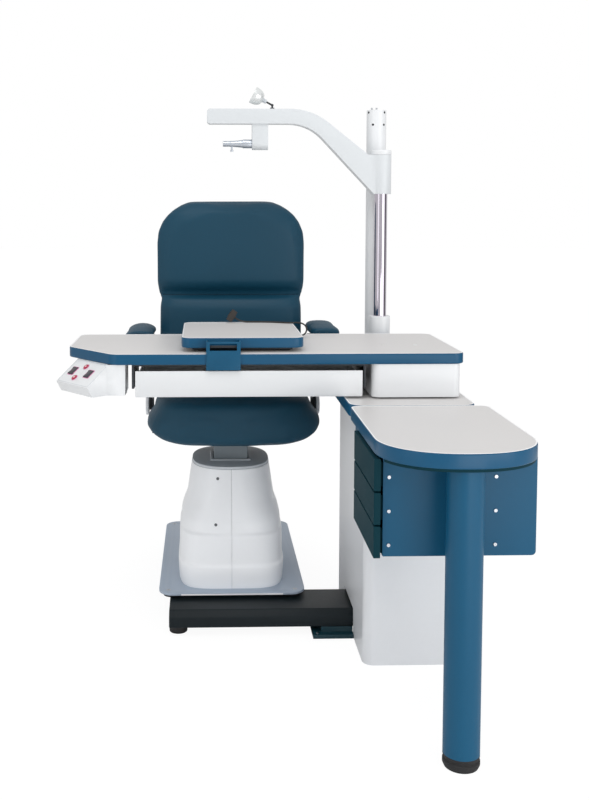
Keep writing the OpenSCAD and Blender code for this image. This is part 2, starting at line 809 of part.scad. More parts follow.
// White pole, collar, chrome column and the refractor arm
module white_pole() placed() color("#eceae8") translate([pole_x, chrome_y + pole_step, 0])
    difference() {
        translate([0, 0, unit_h]) cylinder(h = pole_top - unit_h, r = pole_d / 2);
        translate([0, 0, unit_h - cut])
            cylinder(h = pole_top - unit_h - pole_wall + cut, r = pole_d / 2 - pole_wall);
        for (a = pole_high_angles) translate([0, 0, pole_top - pole_hole_drop])
            rotate([90, 0, a]) cylinder(h = pole_d, r = pole_hole_r);
        for (a = pole_low_angles) translate([0, 0, pole_top - pole_hole_drop - pole_hole_step])
            rotate([90, 0, a]) cylinder(h = pole_d, r = pole_hole_r);
    }
module pole_studs() placed() color("#9a9da1") for (k = [0, 1])
    translate([pole_x - k * stud_pitch, chrome_y + pole_step, pole_top])
        cylinder(h = stud_h, r = stud_r);
module column_collar() placed() color("#eff0f1") translate([0, chrome_y, collar_foot])
    difference() {
        cylinder(h = collar_top - collar_foot, r = collar_d / 2);
        translate([0, 0, -cut])
            cylinder(h = collar_top - collar_foot + 2 * cut, r = chrome_d / 2 + bore_play);
    }
module chrome_column() placed() color("#c8c6cc") translate([0, chrome_y, chrome_foot])
    cylinder(h = chrome_top - chrome_foot, r = chrome_d / 2);
arm_points = [[-arm_reach, arm_low], [-arm_under_x, arm_low], [-arm_root, hub_low],
    [0, hub_low], [0, hub_top], [-arm_shoulder, hub_top], [-arm_bend_x, arm_top],
    [-arm_reach, arm_top]];
arm_radii = [arm_tip_r, arm_under_r, edge_r, edge_r, edge_r, edge_r, arm_bend_r, arm_tip_r];
module refractor_arm() placed() color("#dfe3e6") translate([0, chrome_y, 0]) difference() {
    union() {
        translate([0, arm_t / 2, 0]) rotate([90, 0, 0]) linear_extrude(arm_t)
            polygon(rounded(arm_points, arm_radii));
        translate([0, 0, hub_low]) cylinder(h = hub_h, r = hub_d / 2);
        block(hanger_left, -hanger_t / 2, pin_z, hanger_left + hanger_w, hanger_t / 2,
            arm_low + cut);
        along_x(hanger_left, hanger_w, hanger_t / 2, 0, pin_z);
    }
    translate([0, 0, hub_low - cut]) cylinder(h = hub_h + 2 * cut, r = chrome_d / 2 + bore_play);
    along_x(hanger_left - cut, pin_bore_l + cut, pin_tail_r + bore_play, 0, pin_z);
}
module top_ring() placed() color("#e4e6e8") translate([0, chrome_y, hub_top + slip])
    difference() {
        cylinder(h = ring_h - slip, r = hub_d / 2);
        translate([0, 0, -cut]) cylinder(h = ring_h + 2 * cut, r = chrome_d / 2 + bore_play);
    }
module refractor_pin() placed() color("#b9bec6") translate([hanger_left, chrome_y, pin_z]) {
    rotate([0, -90, 0]) rotate_extrude() polygon([[0, -pin_tail_l], [pin_tail_r, -pin_tail_l],
        [pin_tail_r, slip], [pin_root_r, slip], [pin_root_r, pin_root_l], [pin_mid_r, pin_root_l],
        [pin_stop_r, pin_root_l + pin_taper_l], [pin_stop_r, pin_l - pin_tip_l - pin_ease_l],
        [pin_tip_r, pin_l - pin_tip_l], [pin_tip_r, pin_l], [0, pin_l]]);
    translate([-pin_root_l - pin_taper_l - thumb_head_r, 0, -pin_mid_r - thumb_l]) {
        cylinder(h = thumb_l + pin_mid_r / 2, r = thumb_r);
        translate([0, 0, -thumb_head_l]) cylinder(h = thumb_head_l, r = thumb_head_r);
    }
}
lamp_at = [-lamp_x, chrome_y, arm_top];
neck_top = lamp_at + [0, 0, neck_h];
module lamp_neck() placed() color("#6d7076") {
    translate(lamp_at + [0, 0, slip]) cylinder(h = lamp_base_h, r = lamp_base_r);
    translate(lamp_at + [0, 0, slip]) cylinder(h = neck_h - slip, r = neck_r);
    translate(neck_top) sphere(r = neck_knuckle_r);
    translate(neck_top) rotate([0, -head_lean, 0]) cylinder(h = neck_l, r = neck_r);
}
function dish(t, wall) = [head_back_r + (head_r - head_back_r) * pow(t, dish_power) - wall,
    head_l * t];
module lamp_head() placed() color("#c9cdd2") translate(lamp_at + [-head_dx, 0, head_dz])
    rotate([0, -head_lean, 0]) translate([0, 0, -head_l / 2]) {
        rotate_extrude() polygon(concat([[0, 0]],
            [for (k = [0:dish_steps]) dish(k / dish_steps, 0)],
            [for (k = [dish_steps:-1:1]) dish(k / dish_steps, head_wall)],
            [[0, head_floor]]));
        translate([0, 0, -socket_l]) cylinder(h = socket_l, r = socket_r);
    }

// Swing table
module swing_post() placed() color("#a9adb2") translate([0, 0, unit_h]) {
    cylinder(h = post_flange_t, r = post_flange_d / 2);
    cylinder(h = table_z - unit_h - post_top_gap, r = post_d / 2);
}
module swing_bearing() placed() color("#8f9398") difference() {
    translate([0, 0, unit_h + pivot_box_gap + bearing_gap])
        cylinder(h = pivot_box_h - bearing_gap, r = bearing_d / 2);
    translate([0, 0, unit_h])
        cylinder(h = table_z - unit_h - bearing_cap, r = post_d / 2 + bore_play);
}
table_points = [[table_left + cut_w, -table_front], [table_right, -table_front],
    [table_right, table_back], [table_left, table_back], [table_left, -table_front + cut_d]];
table_radii = [cut_corner_r, table_r, table_r, table_r, cut_corner_r];
module table_top() placed() color("#d9d7d5") {
    core(table_points, table_radii, table_z, table_t, band_t);
    for (x = [-table_screw_pitch / 2, table_screw_pitch / 2])
        translate([x, table_screw_y, table_top_z]) cylinder(h = table_screw_h, r = table_screw_r);
}
module table_band() placed() color("#1d5f92") band(table_points, table_radii, table_z, table_t);
box_right = table_right - box_side;
box_left = box_right - pivot_box_w;
box_y0 = -table_front + box_front;
pivot_box_points = box_points(box_left, box_y0, box_right, box_y0 + pivot_box_d);
pivot_box_radii = [box_r, box_r, box_r, box_r];
module pivot_box() placed() color("#eff1f2") difference() {
    slab(pivot_box_points, pivot_box_radii, unit_h + pivot_box_gap, pivot_box_h);
    core(pivot_box_points, pivot_box_radii, unit_h + pivot_box_gap + box_wall, pivot_box_h,
        box_wall);
    translate([0, 0, unit_h]) cylinder(h = pivot_box_h / 2, r = box_hole_d / 2);
}
lens_right = box_left - lens_right_gap;
lens_left = lens_right - lens_drawer_w;
lens_y = -table_front + lens_set;
lens_z = table_z - lens_top_gap - lens_drawer_h;
module table_frame() placed() color("#33373c") {
    x0 = lens_left - rail_gap - rail_w;
    x1 = lens_right + rail_gap + rail_w;
    y0 = -table_front + frame_front;
    block(x0, y0, table_z - frame_t, x1, y0 + frame_d, table_z);
    for (x = [x0, x1 - rail_w])
        block(x, y0, table_z - rail_h, x + rail_w, y0 + frame_d, table_z - frame_t);
    for (x = [[x0 + rail_w, lens_left + lens_box_gap - slip],
        [lens_right - lens_box_gap + slip, x1 - rail_w]])
        block(x[0], y0 + runner_in, lens_z + runner_z, x[1], y0 + frame_d,
            lens_z + runner_z + runner_h);
}
module lens_drawer() placed() color("#edeff0") {
    back = lens_y + lens_front_t;
    translate([lens_left, 0, 0]) rotate([90, 0, 90]) linear_extrude(lens_drawer_w) polygon([
        [lens_y, lens_z + lens_bevel], [back, lens_z], [back + lens_bevel, lens_z],
        [back, lens_z + lens_bevel], [back, lens_z + lens_drawer_h],
        [lens_y, lens_z + lens_drawer_h]]);
    difference() {
        block(lens_left + lens_box_gap, back, lens_z + lens_bevel, lens_right - lens_box_gap,
            lens_y + lens_drawer_d, lens_z + lens_drawer_h - lens_box_gap);
        block(lens_left + lens_box_gap + sheet_t, back, lens_z + lens_bevel + sheet_t,
            lens_right - lens_box_gap - sheet_t, lens_y + lens_drawer_d - sheet_t,
            lens_z + lens_drawer_h);
    }
}
module at_console() translate([block_x, lens_y, 0]) rotate([0, 0, cut_angle]) children();
module console_solid(points, x0, x1) translate([x0, 0, 0]) rotate([90, 0, 90])
    linear_extrude(x1 - x0) polygon(points);
control_z = table_z - control_h;
console_points = [[-console_in, control_z], [console_lip, control_z],
    [console_out, table_z - console_drop], [-console_top_in, table_z], [-console_in, table_z]];
module at_panel(share) at_console() translate([console_l * share[0], -console_top_in, table_z])
    rotate([-panel_angle, 0, 0]) translate([0, panel_l * share[1], 0]) children();
module control_box() placed() color("#eceef0") difference() {
    union() {
        block(block_x, lens_y, control_z, block_x + block_w, lens_y + block_d, table_z);
        at_console() console_solid(console_points, 0, console_l);
    }
    block(block_x + box_wall, lens_y + box_wall, control_z + box_wall,
        block_x + block_w - box_wall, lens_y + block_d - box_wall, table_z + cut);
    at_console() console_solid(inset(console_points, box_wall), box_wall, console_l - box_wall);
    for (s = rocker_shares) at_panel(s)
        cube([rocker_w + 2 * slip, rocker_l + 2 * slip, rocker_depth], center = true);
    for (s = button_shares) at_panel(s)
        cylinder(h = rocker_depth, r = button_r + slip, center = true);
}
module rocker(share) placed() color("#2b2430") at_panel(share) intersection() {
    along_x(-rocker_w / 2, rocker_w, rocker_l / 2, 0, -rocker_axis);
    translate([-rocker_w / 2, 0, 0]) rotate([90, 0, 90]) linear_extrude(rocker_w)
        polygon([[-rocker_l / 2, -rocker_depth], [rocker_l / 2, -rocker_depth],
            [rocker_l / 2, rocker_high], [0, rocker_low], [-rocker_l / 2, rocker_high]]);
}
module rocker_left() rocker(rocker_shares[0]);
module rocker_right() rocker(rocker_shares[1]);
module push_button(share) placed() color("#c2405f") at_panel(share)
    translate([0, 0, button_proud - button_h]) cylinder(h = button_h, r = button_r);
module button_upper() push_button(button_shares[0]);
module button_lower() push_button(button_shares[1]);

// Sliding tray
tray_points = box_points(tray_left, tray_front, tray_left + tray_w, tray_front + tray_d);
tray_radii = [tray_r, tray_r, tray_r, tray_r];
module tray_top() placed() color("#d9d7d5") core(tray_points, tray_radii, tray_z, tray_t, band_t);
module tray_band() placed() color("#1d5f92") band(tray_points, tray_radii, tray_z, tray_t);
carriage_z = tray_z - carriage_t;
module tray_carriage() placed() color("#4a4e54") {
    x0 = -tray_x - carriage_w / 2;
    y0 = tray_front + carriage_in;
    block(x0, y0, carriage_z, x0 + carriage_w, y0 + carriage_d, tray_z);
    for (x = [x0 + glide_in, x0 + carriage_w - glide_in],
        y = [y0 + glide_in, y0 + carriage_d - glide_in])
        translate([x, y, table_top_z + slip])
            cylinder(h = carriage_z - table_top_z, r = glide_r);
    along_x(x0 + carriage_w - cut, gland_l + cut, gland_r, gland_y, tray_z - gland_drop);
}
module tray_bracket() placed() color("#2c6c82") {
    top = bracket_z + bracket_h;
    difference() {
        block(bracket_x0, bracket_y - bracket_t, bracket_z, bracket_x1, bracket_y, top);
        translate([(bracket_x0 + bracket_x1) / 2, bracket_y, latch_z])
            cube([window_w, 2 * bracket_t + cut, window_h], center = true);
    }
    for (x = [bracket_x0, bracket_x1 - bracket_side]) difference() {
        block(x, bracket_y, table_top_z + slip, x + bracket_side, tray_front, top);
        along_x(x - cut, bracket_side + 2 * cut, latch_pin_r + pin_play, latch_y, latch_z);
    }
    block(bracket_x0, bracket_y, table_top_z + slip, bracket_x1,
        tray_front + carriage_in + tongue_l, carriage_z);
}
module latch_bar() placed() color("#3f7f92") {
    x0 = (bracket_x0 + bracket_x1 - latch_l) / 2;
    block(x0, latch_y - latch_t / 2, latch_z - latch_h / 2,
        x0 + latch_l, latch_y + latch_t / 2, latch_z + latch_h / 2);
    along_x(bracket_x0 + slip, bracket_w - 2 * slip, latch_pin_r, latch_y, latch_z);
}
function cable_tangent(i) = unit_vector(cable_route[min(i + 1, len(cable_route) - 1)]
    - cable_route[max(i - 1, 0)]);
function cable_ring(i) =
    let (t = cable_tangent(i), u = unit_vector(cross(t, [0, 1, 0])), v = cross(t, u))
    [for (k = [0:cable_sides - 1]) let (a = -360 * k / cable_sides)
        cable_route[i] + cable_r * (cos(a) * u + sin(a) * v)];
module tray_cable() placed() color("#3a3430")
    loft([for (i = [0:len(cable_route) - 1]) cable_ring(i)]);
module cable_connector() placed() color("#4b443e") translate(connector_at)
    rotate([0, connector_lean, 0]) cube([connector_w, connector_t, connector_h], center = true);

// Chair
module seat_frame() placed() color("#34383d") translate([-seat_x, chair_y, 0]) {
    y0 = -pan_front;
    bar_y = back_front + back_t;
    block(-pan_w / 2, y0, pan_z - pan_t, pan_w / 2, y0 + pan_d, pan_z);
    for (side = [0, 1]) mirror([side, 0, 0]) {
        block(ear_bar_in, ear_y - ear_w / 2, pan_z - pan_t, ear_x + ear_t, ear_y + ear_w / 2,
            pan_z);
        difference() {
            block(ear_x, ear_y - ear_w / 2, pan_z - pan_t, ear_x + ear_t,
                ear_y + ear_w / 2, hinge_z + ear_w / 2);
            along_x(ear_x - cut, ear_t + 2 * cut, hinge_r + bore_play, ear_y, hinge_z);
        }
        block(back_bar_x - back_bar_w / 2, bar_y, pan_z - pan_t, back_bar_x + back_bar_w / 2,
            bar_y + back_bar_d, back_z + back_h / 2);
        block(back_bar_x - back_bar_w / 2, y0 + pan_d, pan_z - pan_t,
            back_bar_x + back_bar_w / 2, bar_y, pan_z);
    }
}
function squared(a) = sign(a) * sqrt(abs(a));
seat_high = pan_z + seat_t;
function seat_side(f) =
    let (roll = seat_roll * (1 - sqrt(cos(f))), pull = seat_pull * cos(f))
    ring(-seat_x, chair_y - seat_front + seat_d / 2, pan_z + seat_t / 2 * (1 + squared(sin(f))),
        seat_w / 2 - roll * (f > 0 ? 1 : 0.7) - (f > 0 ? pull : 0), seat_d / 2 - roll - pull,
        seat_power, cushion_points);
module seat_cushion() placed() color("#235a72") loft(concat(
    [for (i = [0:side_steps]) seat_side(-90 + 180 * i / side_steps)],
    [for (s = [0.8, 0.5, 0.2]) ring(-seat_x, chair_y - seat_front + seat_d / 2,
        seat_high + seat_crown * (1 - s * s), (seat_w / 2 - seat_roll) * s,
        (seat_d / 2 - seat_roll) * s, seat_power, cushion_points)]));
function roll_in(edge, r) = edge < r ? r - sqrt(r * r - pow(r - edge, 2)) : 0;
function crease(z) = exp(-pow((z - crease_h) / crease_reach, 2));
function back_half_w(z) = (z < crease_h ? back_low_w : back_w) / 2 - crease_pull * crease(z)
    - roll_in(back_h - z, back_top_r) - roll_in(z, back_low_r);
function back_half_t(z) = back_t / 2 - roll_in(min(z, back_h - z), back_t / 2)
    - crease_depth / 2 * crease(z) - (z > crease_h ? lumbar / 2 : 0);
back_shares = [0.004, 0.02, 0.05, 0.1, 0.2, 0.32, 0.38, 0.41, 0.43, crease_h / back_h, 0.47,
    0.49, 0.53, 0.62, 0.75, 0.82, 0.88, 0.92, 0.95, 0.975, 0.99, 0.995];
module back_cushion() placed() color("#235a72") loft([for (s = back_shares)
    let (z = s * back_h, ht = back_half_t(z))
    ring(-seat_x, chair_y + back_front + back_t - ht, back_z + z, back_half_w(z), ht,
        back_power, cushion_points)]);
module back_shell() placed() color("#2a2d31") {
    y1 = chair_y + back_front + back_t + back_bar_d + shell_t;
    w = back_w / 2 - shell_in;
    translate([-seat_x, y1, back_z + shell_in]) rotate([90, 0, 0]) linear_extrude(shell_t)
        polygon(rounded(box_points(-w, 0, w, back_h - 2 * shell_in),
            [back_low_r, back_low_r, back_top_r, back_top_r]));
}
module at_side(side) translate([-seat_x, chair_y, 0]) mirror([side < 0 ? 1 : 0, 0, 0]) children();
module arm_support(side) placed() color("#34383d") at_side(side) {
    y0 = ear_y - support_w / 2;
    difference() {
        union() {
            block(support_x, y0, hinge_z, support_x + support_t, y0 + support_w, pad_z);
            along_x(support_x, support_t, support_w / 2, ear_y, hinge_z);
        }
        along_x(support_x - cut, support_t + 2 * cut, hinge_r + bore_play, ear_y, hinge_z);
    }
    block(support_x, y0, pad_z - pad_rail_t, pad_x + pad_rail_x, y0 + pad_rail_l, pad_z);
}
module left_arm_support() arm_support(-1);
module right_arm_support() arm_support(1);
// Sections of an arm pad: place along its length and size, as shares of its length and size
pad_shares = [[0.004, 0.78], [0.03, 0.88], [0.08, 0.96], [0.16, 1], [0.5, 1], [0.84, 1],
    [0.92, 0.96], [0.97, 0.88], [0.996, 0.78]];
function pad_ring(share) =
    [for (p = ring(0, 0, 0, pad_w / 2, pad_h / 2, pad_power, pad_points))
        [pad_x + p.x * share[1], pad_y + pad_l * share[0], pad_z + pad_h / 2 + p.y * share[1]]];
module arm_pad(side) placed() color("#235a72") at_side(side)
    loft([for (i = [len(pad_shares) - 1:-1:0]) pad_ring(pad_shares[i])]);
module left_arm_pad() arm_pad(-1);
module right_arm_pad() arm_pad(1);
module pivot_caps() placed() color("#eff1f2") for (side = [-1, 1]) at_side(side) {
    x0 = support_x + support_t + slip;
    along_x(x0, cap_w, cap_r, ear_y, hinge_z);
    along_x(ear_x, x0 - ear_x, hinge_r, ear_y, hinge_z);
}

base_beams();
rubber_feet();
joint_plate();
base_plate();
frame_screws();
shroud_left();
shroud_right();
shroud_cap();
lift_guide();
actuator_body();
cabinet_body();
cabinet_top();
cabinet_band();
rear_housing();
worktop();
worktop_band();
leg_tube();
leg_foot();
drawer_housing();
white_pole();
pole_studs();
column_collar();
swing_post();
lift_column();
seat_frame();
seat_cushion();
back_cushion();
back_shell();
left_arm_support();
left_arm_pad();
right_arm_support();
right_arm_pad();
pivot_caps();
table_top();
table_band();
table_frame();
pivot_box();
swing_bearing();
control_box();
lens_drawer();
rocker_left();
rocker_right();
button_upper();
button_lower();
tray_top();
tray_band();
tray_carriage();
tray_bracket();
latch_bar();
tray_cable();
cable_connector();
drawer_top();
drawer_middle();
drawer_bottom();
chrome_column();
refractor_arm();
top_ring();
refractor_pin();
lamp_neck();
lamp_head();
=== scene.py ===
"""Looks of an ophthalmic examination unit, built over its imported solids.

A padded chair on a lift base stands beside a cabinet with a swing table, a fixed worktop over
three drawers and a column with an arm. Everything is in metres, in the frame of the solids.
"""

import logging
import math
from dataclasses import dataclass
from enum import Enum
from typing import Callable, Iterable, Optional, Sequence, Union

import bmesh
import bpy
from mathutils import Matrix, Vector
from mathutils.bvhtree import BVHTree


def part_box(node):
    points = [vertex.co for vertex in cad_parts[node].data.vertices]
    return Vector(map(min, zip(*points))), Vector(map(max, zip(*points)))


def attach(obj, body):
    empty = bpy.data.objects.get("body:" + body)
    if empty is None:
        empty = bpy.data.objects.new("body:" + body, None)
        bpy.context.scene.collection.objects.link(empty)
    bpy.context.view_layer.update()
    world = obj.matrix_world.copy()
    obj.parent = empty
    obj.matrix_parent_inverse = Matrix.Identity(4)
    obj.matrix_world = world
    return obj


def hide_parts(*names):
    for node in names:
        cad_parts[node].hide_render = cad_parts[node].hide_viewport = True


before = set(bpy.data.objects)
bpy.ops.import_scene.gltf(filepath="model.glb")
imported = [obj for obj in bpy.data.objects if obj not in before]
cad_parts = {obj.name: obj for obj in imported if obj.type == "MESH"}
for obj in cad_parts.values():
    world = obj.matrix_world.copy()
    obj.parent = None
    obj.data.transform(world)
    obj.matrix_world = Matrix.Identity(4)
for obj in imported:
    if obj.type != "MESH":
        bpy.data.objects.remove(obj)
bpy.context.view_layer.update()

LOG = logging.getLogger("unit")
SWING_AXIS = (408.952, 19.0)  # the table's swing axis in the frame, in millimetres
TABLE_LOW, TABLE_HIGH = 0.829, 0.859  # underside and upper face of the swing table
DESK_LOW, DESK_HIGH = 0.695, 0.730  # the same of the worktop and of the cabinet's top
Point = tuple[float, float, float]
Flat = tuple[float, float]
Value = Union["Sock", float, int, Sequence[float]]


def clamp(value: float, low: float = 0.0, high: float = 1.0) -> float:
    """Returns value, but between low and high."""
    return min(high, max(low, value))


def below(place: float, start: float, length: float) -> float:
    """Returns 0 above start, growing to 1 over a length below it."""
    return clamp((start - place) / length)


def bell(off: float, width: float) -> float:
    """Returns 1 where off is 0, fading over a width on both sides."""
    return math.exp(-((off / width) ** 2))


def moved(points: Sequence[Flat]) -> list[Flat]:
    """Turns millimetres from the table's swing axis into metres in the frame."""
    return [((x + SWING_AXIS[0]) / 1000, (y + SWING_AXIS[1]) / 1000) for x, y in points]


def rectangle(left: float, front: float, right: float, back: float) -> list[Flat]:
    """Returns the corners of a rectangle, anticlockwise from the left front one."""
    return [(left, front), (right, front), (right, back), (left, back)]


def linear(colour: Sequence[int], gain: float = 1.0) -> tuple[float, float, float, float]:
    """Turns a screen colour into scene light.

    Args:
        colour: Red, green and blue from 0 to 255.
        gain: Factor on the result.

    Returns:
        Linear red, green, blue and an alpha of 1.
    """
    out = []
    for part in colour:
        c = part / 255
        c = c / 12.92 if c <= 0.04045 else ((c + 0.055) / 1.055) ** 2.4
        out.append(min(1.0, c * gain))
    return (out[0], out[1], out[2], 1.0)


class Sock:
    """An output socket on which Python's operators add Math nodes."""

    def __init__(self, tree: "Tree", socket: bpy.types.NodeSocket) -> None:
        """Keeps the tree and the socket."""
        self.tree = tree
        self.socket = socket

    def _math(self, operation: str, *values: Value) -> "Sock":
        """Adds one Math node.

        Args:
            operation: The node's operation.
            values: Its inputs in order.

        Returns:
            The node's output.
        """
        return self.tree.node(
            "ShaderNodeMath", {"operation": operation}, dict(enumerate(values))
        )

    def __add__(self, other: Value) -> "Sock":
        """Returns self + other."""
        return self._math("ADD", self, other)

    def __radd__(self, other: Value) -> "Sock":
        """Returns other + self."""
        return self._math("ADD", other, self)

    def __sub__(self, other: Value) -> "Sock":
        """Returns self - other."""
        return self._math("SUBTRACT", self, other)

    def __rsub__(self, other: Value) -> "Sock":
        """Returns other - self."""
        return self._math("SUBTRACT", other, self)

    def __mul__(self, other: Value) -> "Sock":
        """Returns self * other."""
        return self._math("MULTIPLY", self, other)

    def __rmul__(self, other: Value) -> "Sock":
        """Returns other * self."""
        return self._math("MULTIPLY", other, self)

    def __truediv__(self, other: Value) -> "Sock":
        """Returns self / other."""
        return self._math("DIVIDE", self, other)

    def __rtruediv__(self, other: Value) -> "Sock":
        """Returns other / self."""
        return self._math("DIVIDE", other, self)

    def __lt__(self, other: Value) -> "Sock":
        """Returns 1 where self is below other, and 0 elsewhere."""
        return self._math("LESS_THAN", self, other)

    def capped(self, top: float) -> "Sock":
        """Returns self, but no more than top."""
        return self._math("MINIMUM", self, top)

    def at_least(self, other: Value) -> "Sock":
        """Returns the larger one of self and other."""
        return self._math("MAXIMUM", self, other)


class Tree:
    """A node tree to which nodes and links are added."""

    def __init__(self, tree: bpy.types.NodeTree) -> None:
        """Keeps the tree."""
        self.tree = tree

    def feed(self, socket: bpy.types.NodeSocket, value: Value) -> None:
        """Links or sets one input socket.

        Args:
            socket: The input.
            value: A socket to link, or a plain value.
        """
        if isinstance(value, Sock):
            self.tree.links.new(value.socket, socket)
        else:
            socket.default_value = value

    def node(
        self,
        kind: str,
        settings: Optional[dict] = None,
        sockets: Optional[dict] = None,
        output: Union[int, str] = 0,
    ) -> Sock:
        """Adds a node.

        Args:
            kind: The node's type.
            settings: Its properties, set first. "stops" are a ramp's places and colours.
            sockets: Values or links of its inputs, by name or number.
            output: Which output is returned.

        Returns:
            That output.
        """
        made = self.tree.nodes.new(kind)
        for key, value in (settings or {}).items():
            if key == "stops":
                ramp = made.color_ramp.elements
                while len(ramp) < len(value):
                    ramp.new(0.5)
                for stop, (place, colour) in zip(ramp, value):
                    stop.position, stop.color = place, colour
            else:
                setattr(made, key, value)
        for key, value in (sockets or {}).items():
            self.feed(made.inputs[key], value)
        return Sock(self, made.outputs[output])


class Shader(Tree):
    """Node tree of one material."""

    def __init__(self, name: str) -> None:
        """Makes the material with its Principled shader."""
        self.material = bpy.data.materials.new(name)
        self.material.use_nodes = True
        super().__init__(self.material.node_tree)
        self.surface = self.tree.nodes["Principled BSDF"]

    def place(self, stretch: Point = (1.0, 1.0, 1.0)) -> Sock:
        """Returns the object's own coordinates, scaled by stretch along X, Y and Z."""
        spot = self.node("ShaderNodeTexCoord", output="Object")
        if stretch == (1.0, 1.0, 1.0):
            return spot
        return self.node(
            "ShaderNodeVectorMath", {"operation": "MULTIPLY"}, {0: spot, 1: stretch}
        )

    def noise(self, place: Sock, scale: float, detail: float = 2.0) -> Sock:
        """Returns soft noise with about `scale` lumps a metre."""
        return self.node(
            "ShaderNodeTexNoise", {}, {"Vector": place, "Scale": scale, "Detail": detail}
        )

    def cells(self, place: Sock, scale: float, feature: str = "F1") -> Sock:
        """Returns the distance in a cell pattern with about `scale` cells a metre."""
        return self.node(
            "ShaderNodeTexVoronoi", {"feature": feature}, {"Vector": place, "Scale": scale}
        )

    def mix(self, factor: Value, first: Value, second: Value) -> Sock:
        """Returns a colour between first and second."""
        return self.node(
            "ShaderNodeMix", {"data_type": "RGBA"}, {0: factor, 6: first, 7: second}, 2
        )


class Relief(Enum):
    """The small relief that a surface has."""

    PEEL = "sprayed paint"
    LAMINATE = "pressed laminate"
    VINYL = "embossed vinyl"
    MOULDED = "moulded plastic"
    BRUSHED = "upright brushing"
    TURNED = "turning marks along X"
    SMOOTH = "polish"
    RUBBER = "rubber"


BROAD_LUMPS, FINE_LUMPS = 4, 90  # lumps a metre of the wandering tone
SPECKS, SPECK_SIZE = 700, 0.16  # specks a metre of the laminate, and their share of a cell
COAT_ROUGHNESS = 0.12


@dataclass(frozen=True)
class Finish:
    """How one surface looks.

    Attributes:
        name: Name of its material.
        colour: Screen colour, 0 to 255.
        roughness: Mean roughness.
        relief: Kind of small relief.
        cell: Size of the relief's cells.
        depth: Depth of the relief.
        metallic: Share of metal.
        coat: Weight of a clear coat.
        shade: Share by which the colour wanders.
        spread: Amount by which the roughness wanders.
        sheen: Weight of a soft sheen.
        clear: Weight of transmission.
        glow: Strength of emission.
        gloss: Level of the surface's reflection, 0.5 as usual.
    """

    name: str
    colour: tuple[int, int, int]
    roughness: float
    relief: Relief
    cell: float = 0.001
    depth: float = 0.00003
    metallic: float = 0.0
    coat: float = 0.0
    shade: float = 0.04
    spread: float = 0.05
    sheen: float = 0.0
    clear: float = 0.0
    glow: float = 0.0
    gloss: float = 0.5

    def height(self, shader: Shader) -> Sock:
        """Builds the relief.

        Args:
            shader: The tree that it goes into.

        Returns:
            Its height from 0 to about 1.
        """
        per_metre = 1 / self.cell
        if self.relief is Relief.VINYL:
            place = shader.place()
            seams = shader.cells(place, per_metre, "DISTANCE_TO_EDGE")
            return (seams * 5).capped(1.0) * 0.8 + shader.noise(place, per_metre * 0.3) * 0.5
        if self.relief is Relief.LAMINATE:
            place = shader.place()
            return shader.noise(place, per_metre, 4) + shader.cells(place, per_metre * 0.5) * 0.5
        if self.relief is Relief.BRUSHED:
            return shader.noise(shader.place((1, 1, 0.02)), per_metre, 3)
        if self.relief is Relief.TURNED:
            return shader.noise(shader.place((1, 0.01, 0.01)), per_metre, 3)
        if self.relief is Relief.RUBBER:
            place = shader.place()
            fine, lumps = shader.noise(place, per_metre, 4), shader.noise(place, per_metre / 6)
            return fine * 0.7 + lumps * 0.5
        return shader.noise(shader.place(), per_metre, 3)

    def material(self) -> bpy.types.Material:
        """Makes the material at its first use.

        Returns:
            The material.
        """
        found = bpy.data.materials.get(self.name)
        if found is not None:
            return found
        shader = Shader(self.name)
        place = shader.place()
        broad = shader.noise(place, BROAD_LUMPS, 3)
        fine = shader.noise(place, FINE_LUMPS, 4)
        tone = broad * 0.65 + fine * 0.35
        if self.relief is Relief.LAMINATE:
            speck = shader.cells(place, SPECKS) < SPECK_SIZE
            tone = tone - speck * 0.6
        dark = linear(self.colour, 1 - 2 * self.shade)
        light = linear(self.colour, 1 + 2 * self.shade)
        surface = shader.surface.inputs
        shader.feed(surface["Base Color"], shader.mix(tone, dark, light))
        rough = (broad + fine - 1) * self.spread + self.roughness
        shader.feed(surface["Roughness"], rough)
        bump = shader.node(
            "ShaderNodeBump",
            {},
            {"Strength": 1.0, "Distance": self.depth, "Height": self.height(shader)},
        )
        shader.feed(surface["Normal"], bump)
        for key, value in (
            ("Metallic", self.metallic),
            ("Coat Weight", self.coat),
            ("Sheen Weight", self.sheen),
            ("Transmission Weight", self.clear),
            ("Specular IOR Level", self.gloss),
        ):
            surface[key].default_value = value
        surface["Coat Roughness"].default_value = COAT_ROUGHNESS
        if self.glow:
            surface["Emission Color"].default_value = linear(self.colour)
            surface["Emission Strength"].default_value = self.glow
        return shader.material


VINYL = Finish("look_upholstery_vinyl", (10, 64, 86), 0.52, Relief.VINYL, 0.0013, 0.00004,
               shade=0.06, spread=0.08, gloss=0.32)
# Sewn seam of the back; its dark colour is a painted shade of the crease's groove.
SEAM_SHADE = Finish("look_seam_shadow", (5, 30, 44), 0.6, Relief.VINYL, 0.0012, 0.00004, gloss=0.2)
LAMINATE = Finish("look_light_laminate", (216, 214, 213), 0.42, Relief.LAMINATE, 0.0016, 0.00002,
                  shade=0.02)
# The lip's near white is a painted highlight along the edges of the tops and of the base plate.
LIP_HIGHLIGHT = Finish("look_lip_painted_highlight", (248, 248, 250), 0.35, Relief.MOULDED, 0.001, 0.00001)
BAND = Finish("look_blue_band", (8, 80, 116), 0.32, Relief.MOULDED, 0.0016, 0.00002, coat=0.05,
              shade=0.05, gloss=0.3)
TEAL = Finish("look_teal_paint", (8, 82, 116), 0.42, Relief.PEEL, 0.0018, 0.00004, shade=0.05,
              gloss=0.3)
TEAL_DARK = Finish("look_drawer_paint", (6, 50, 60), 0.65, Relief.PEEL, 0.0018, 0.00004,
                   shade=0.05, gloss=0.12)
WHITE = Finish("look_white_paint", (232, 234, 236), 0.32, Relief.PEEL, 0.002, 0.00003, coat=0.15,
               shade=0.015)
CABINET = Finish("look_cabinet_paint", (226, 228, 231), 0.3, Relief.PEEL, 0.002, 0.00003,
                 coat=0.15, shade=0.02)
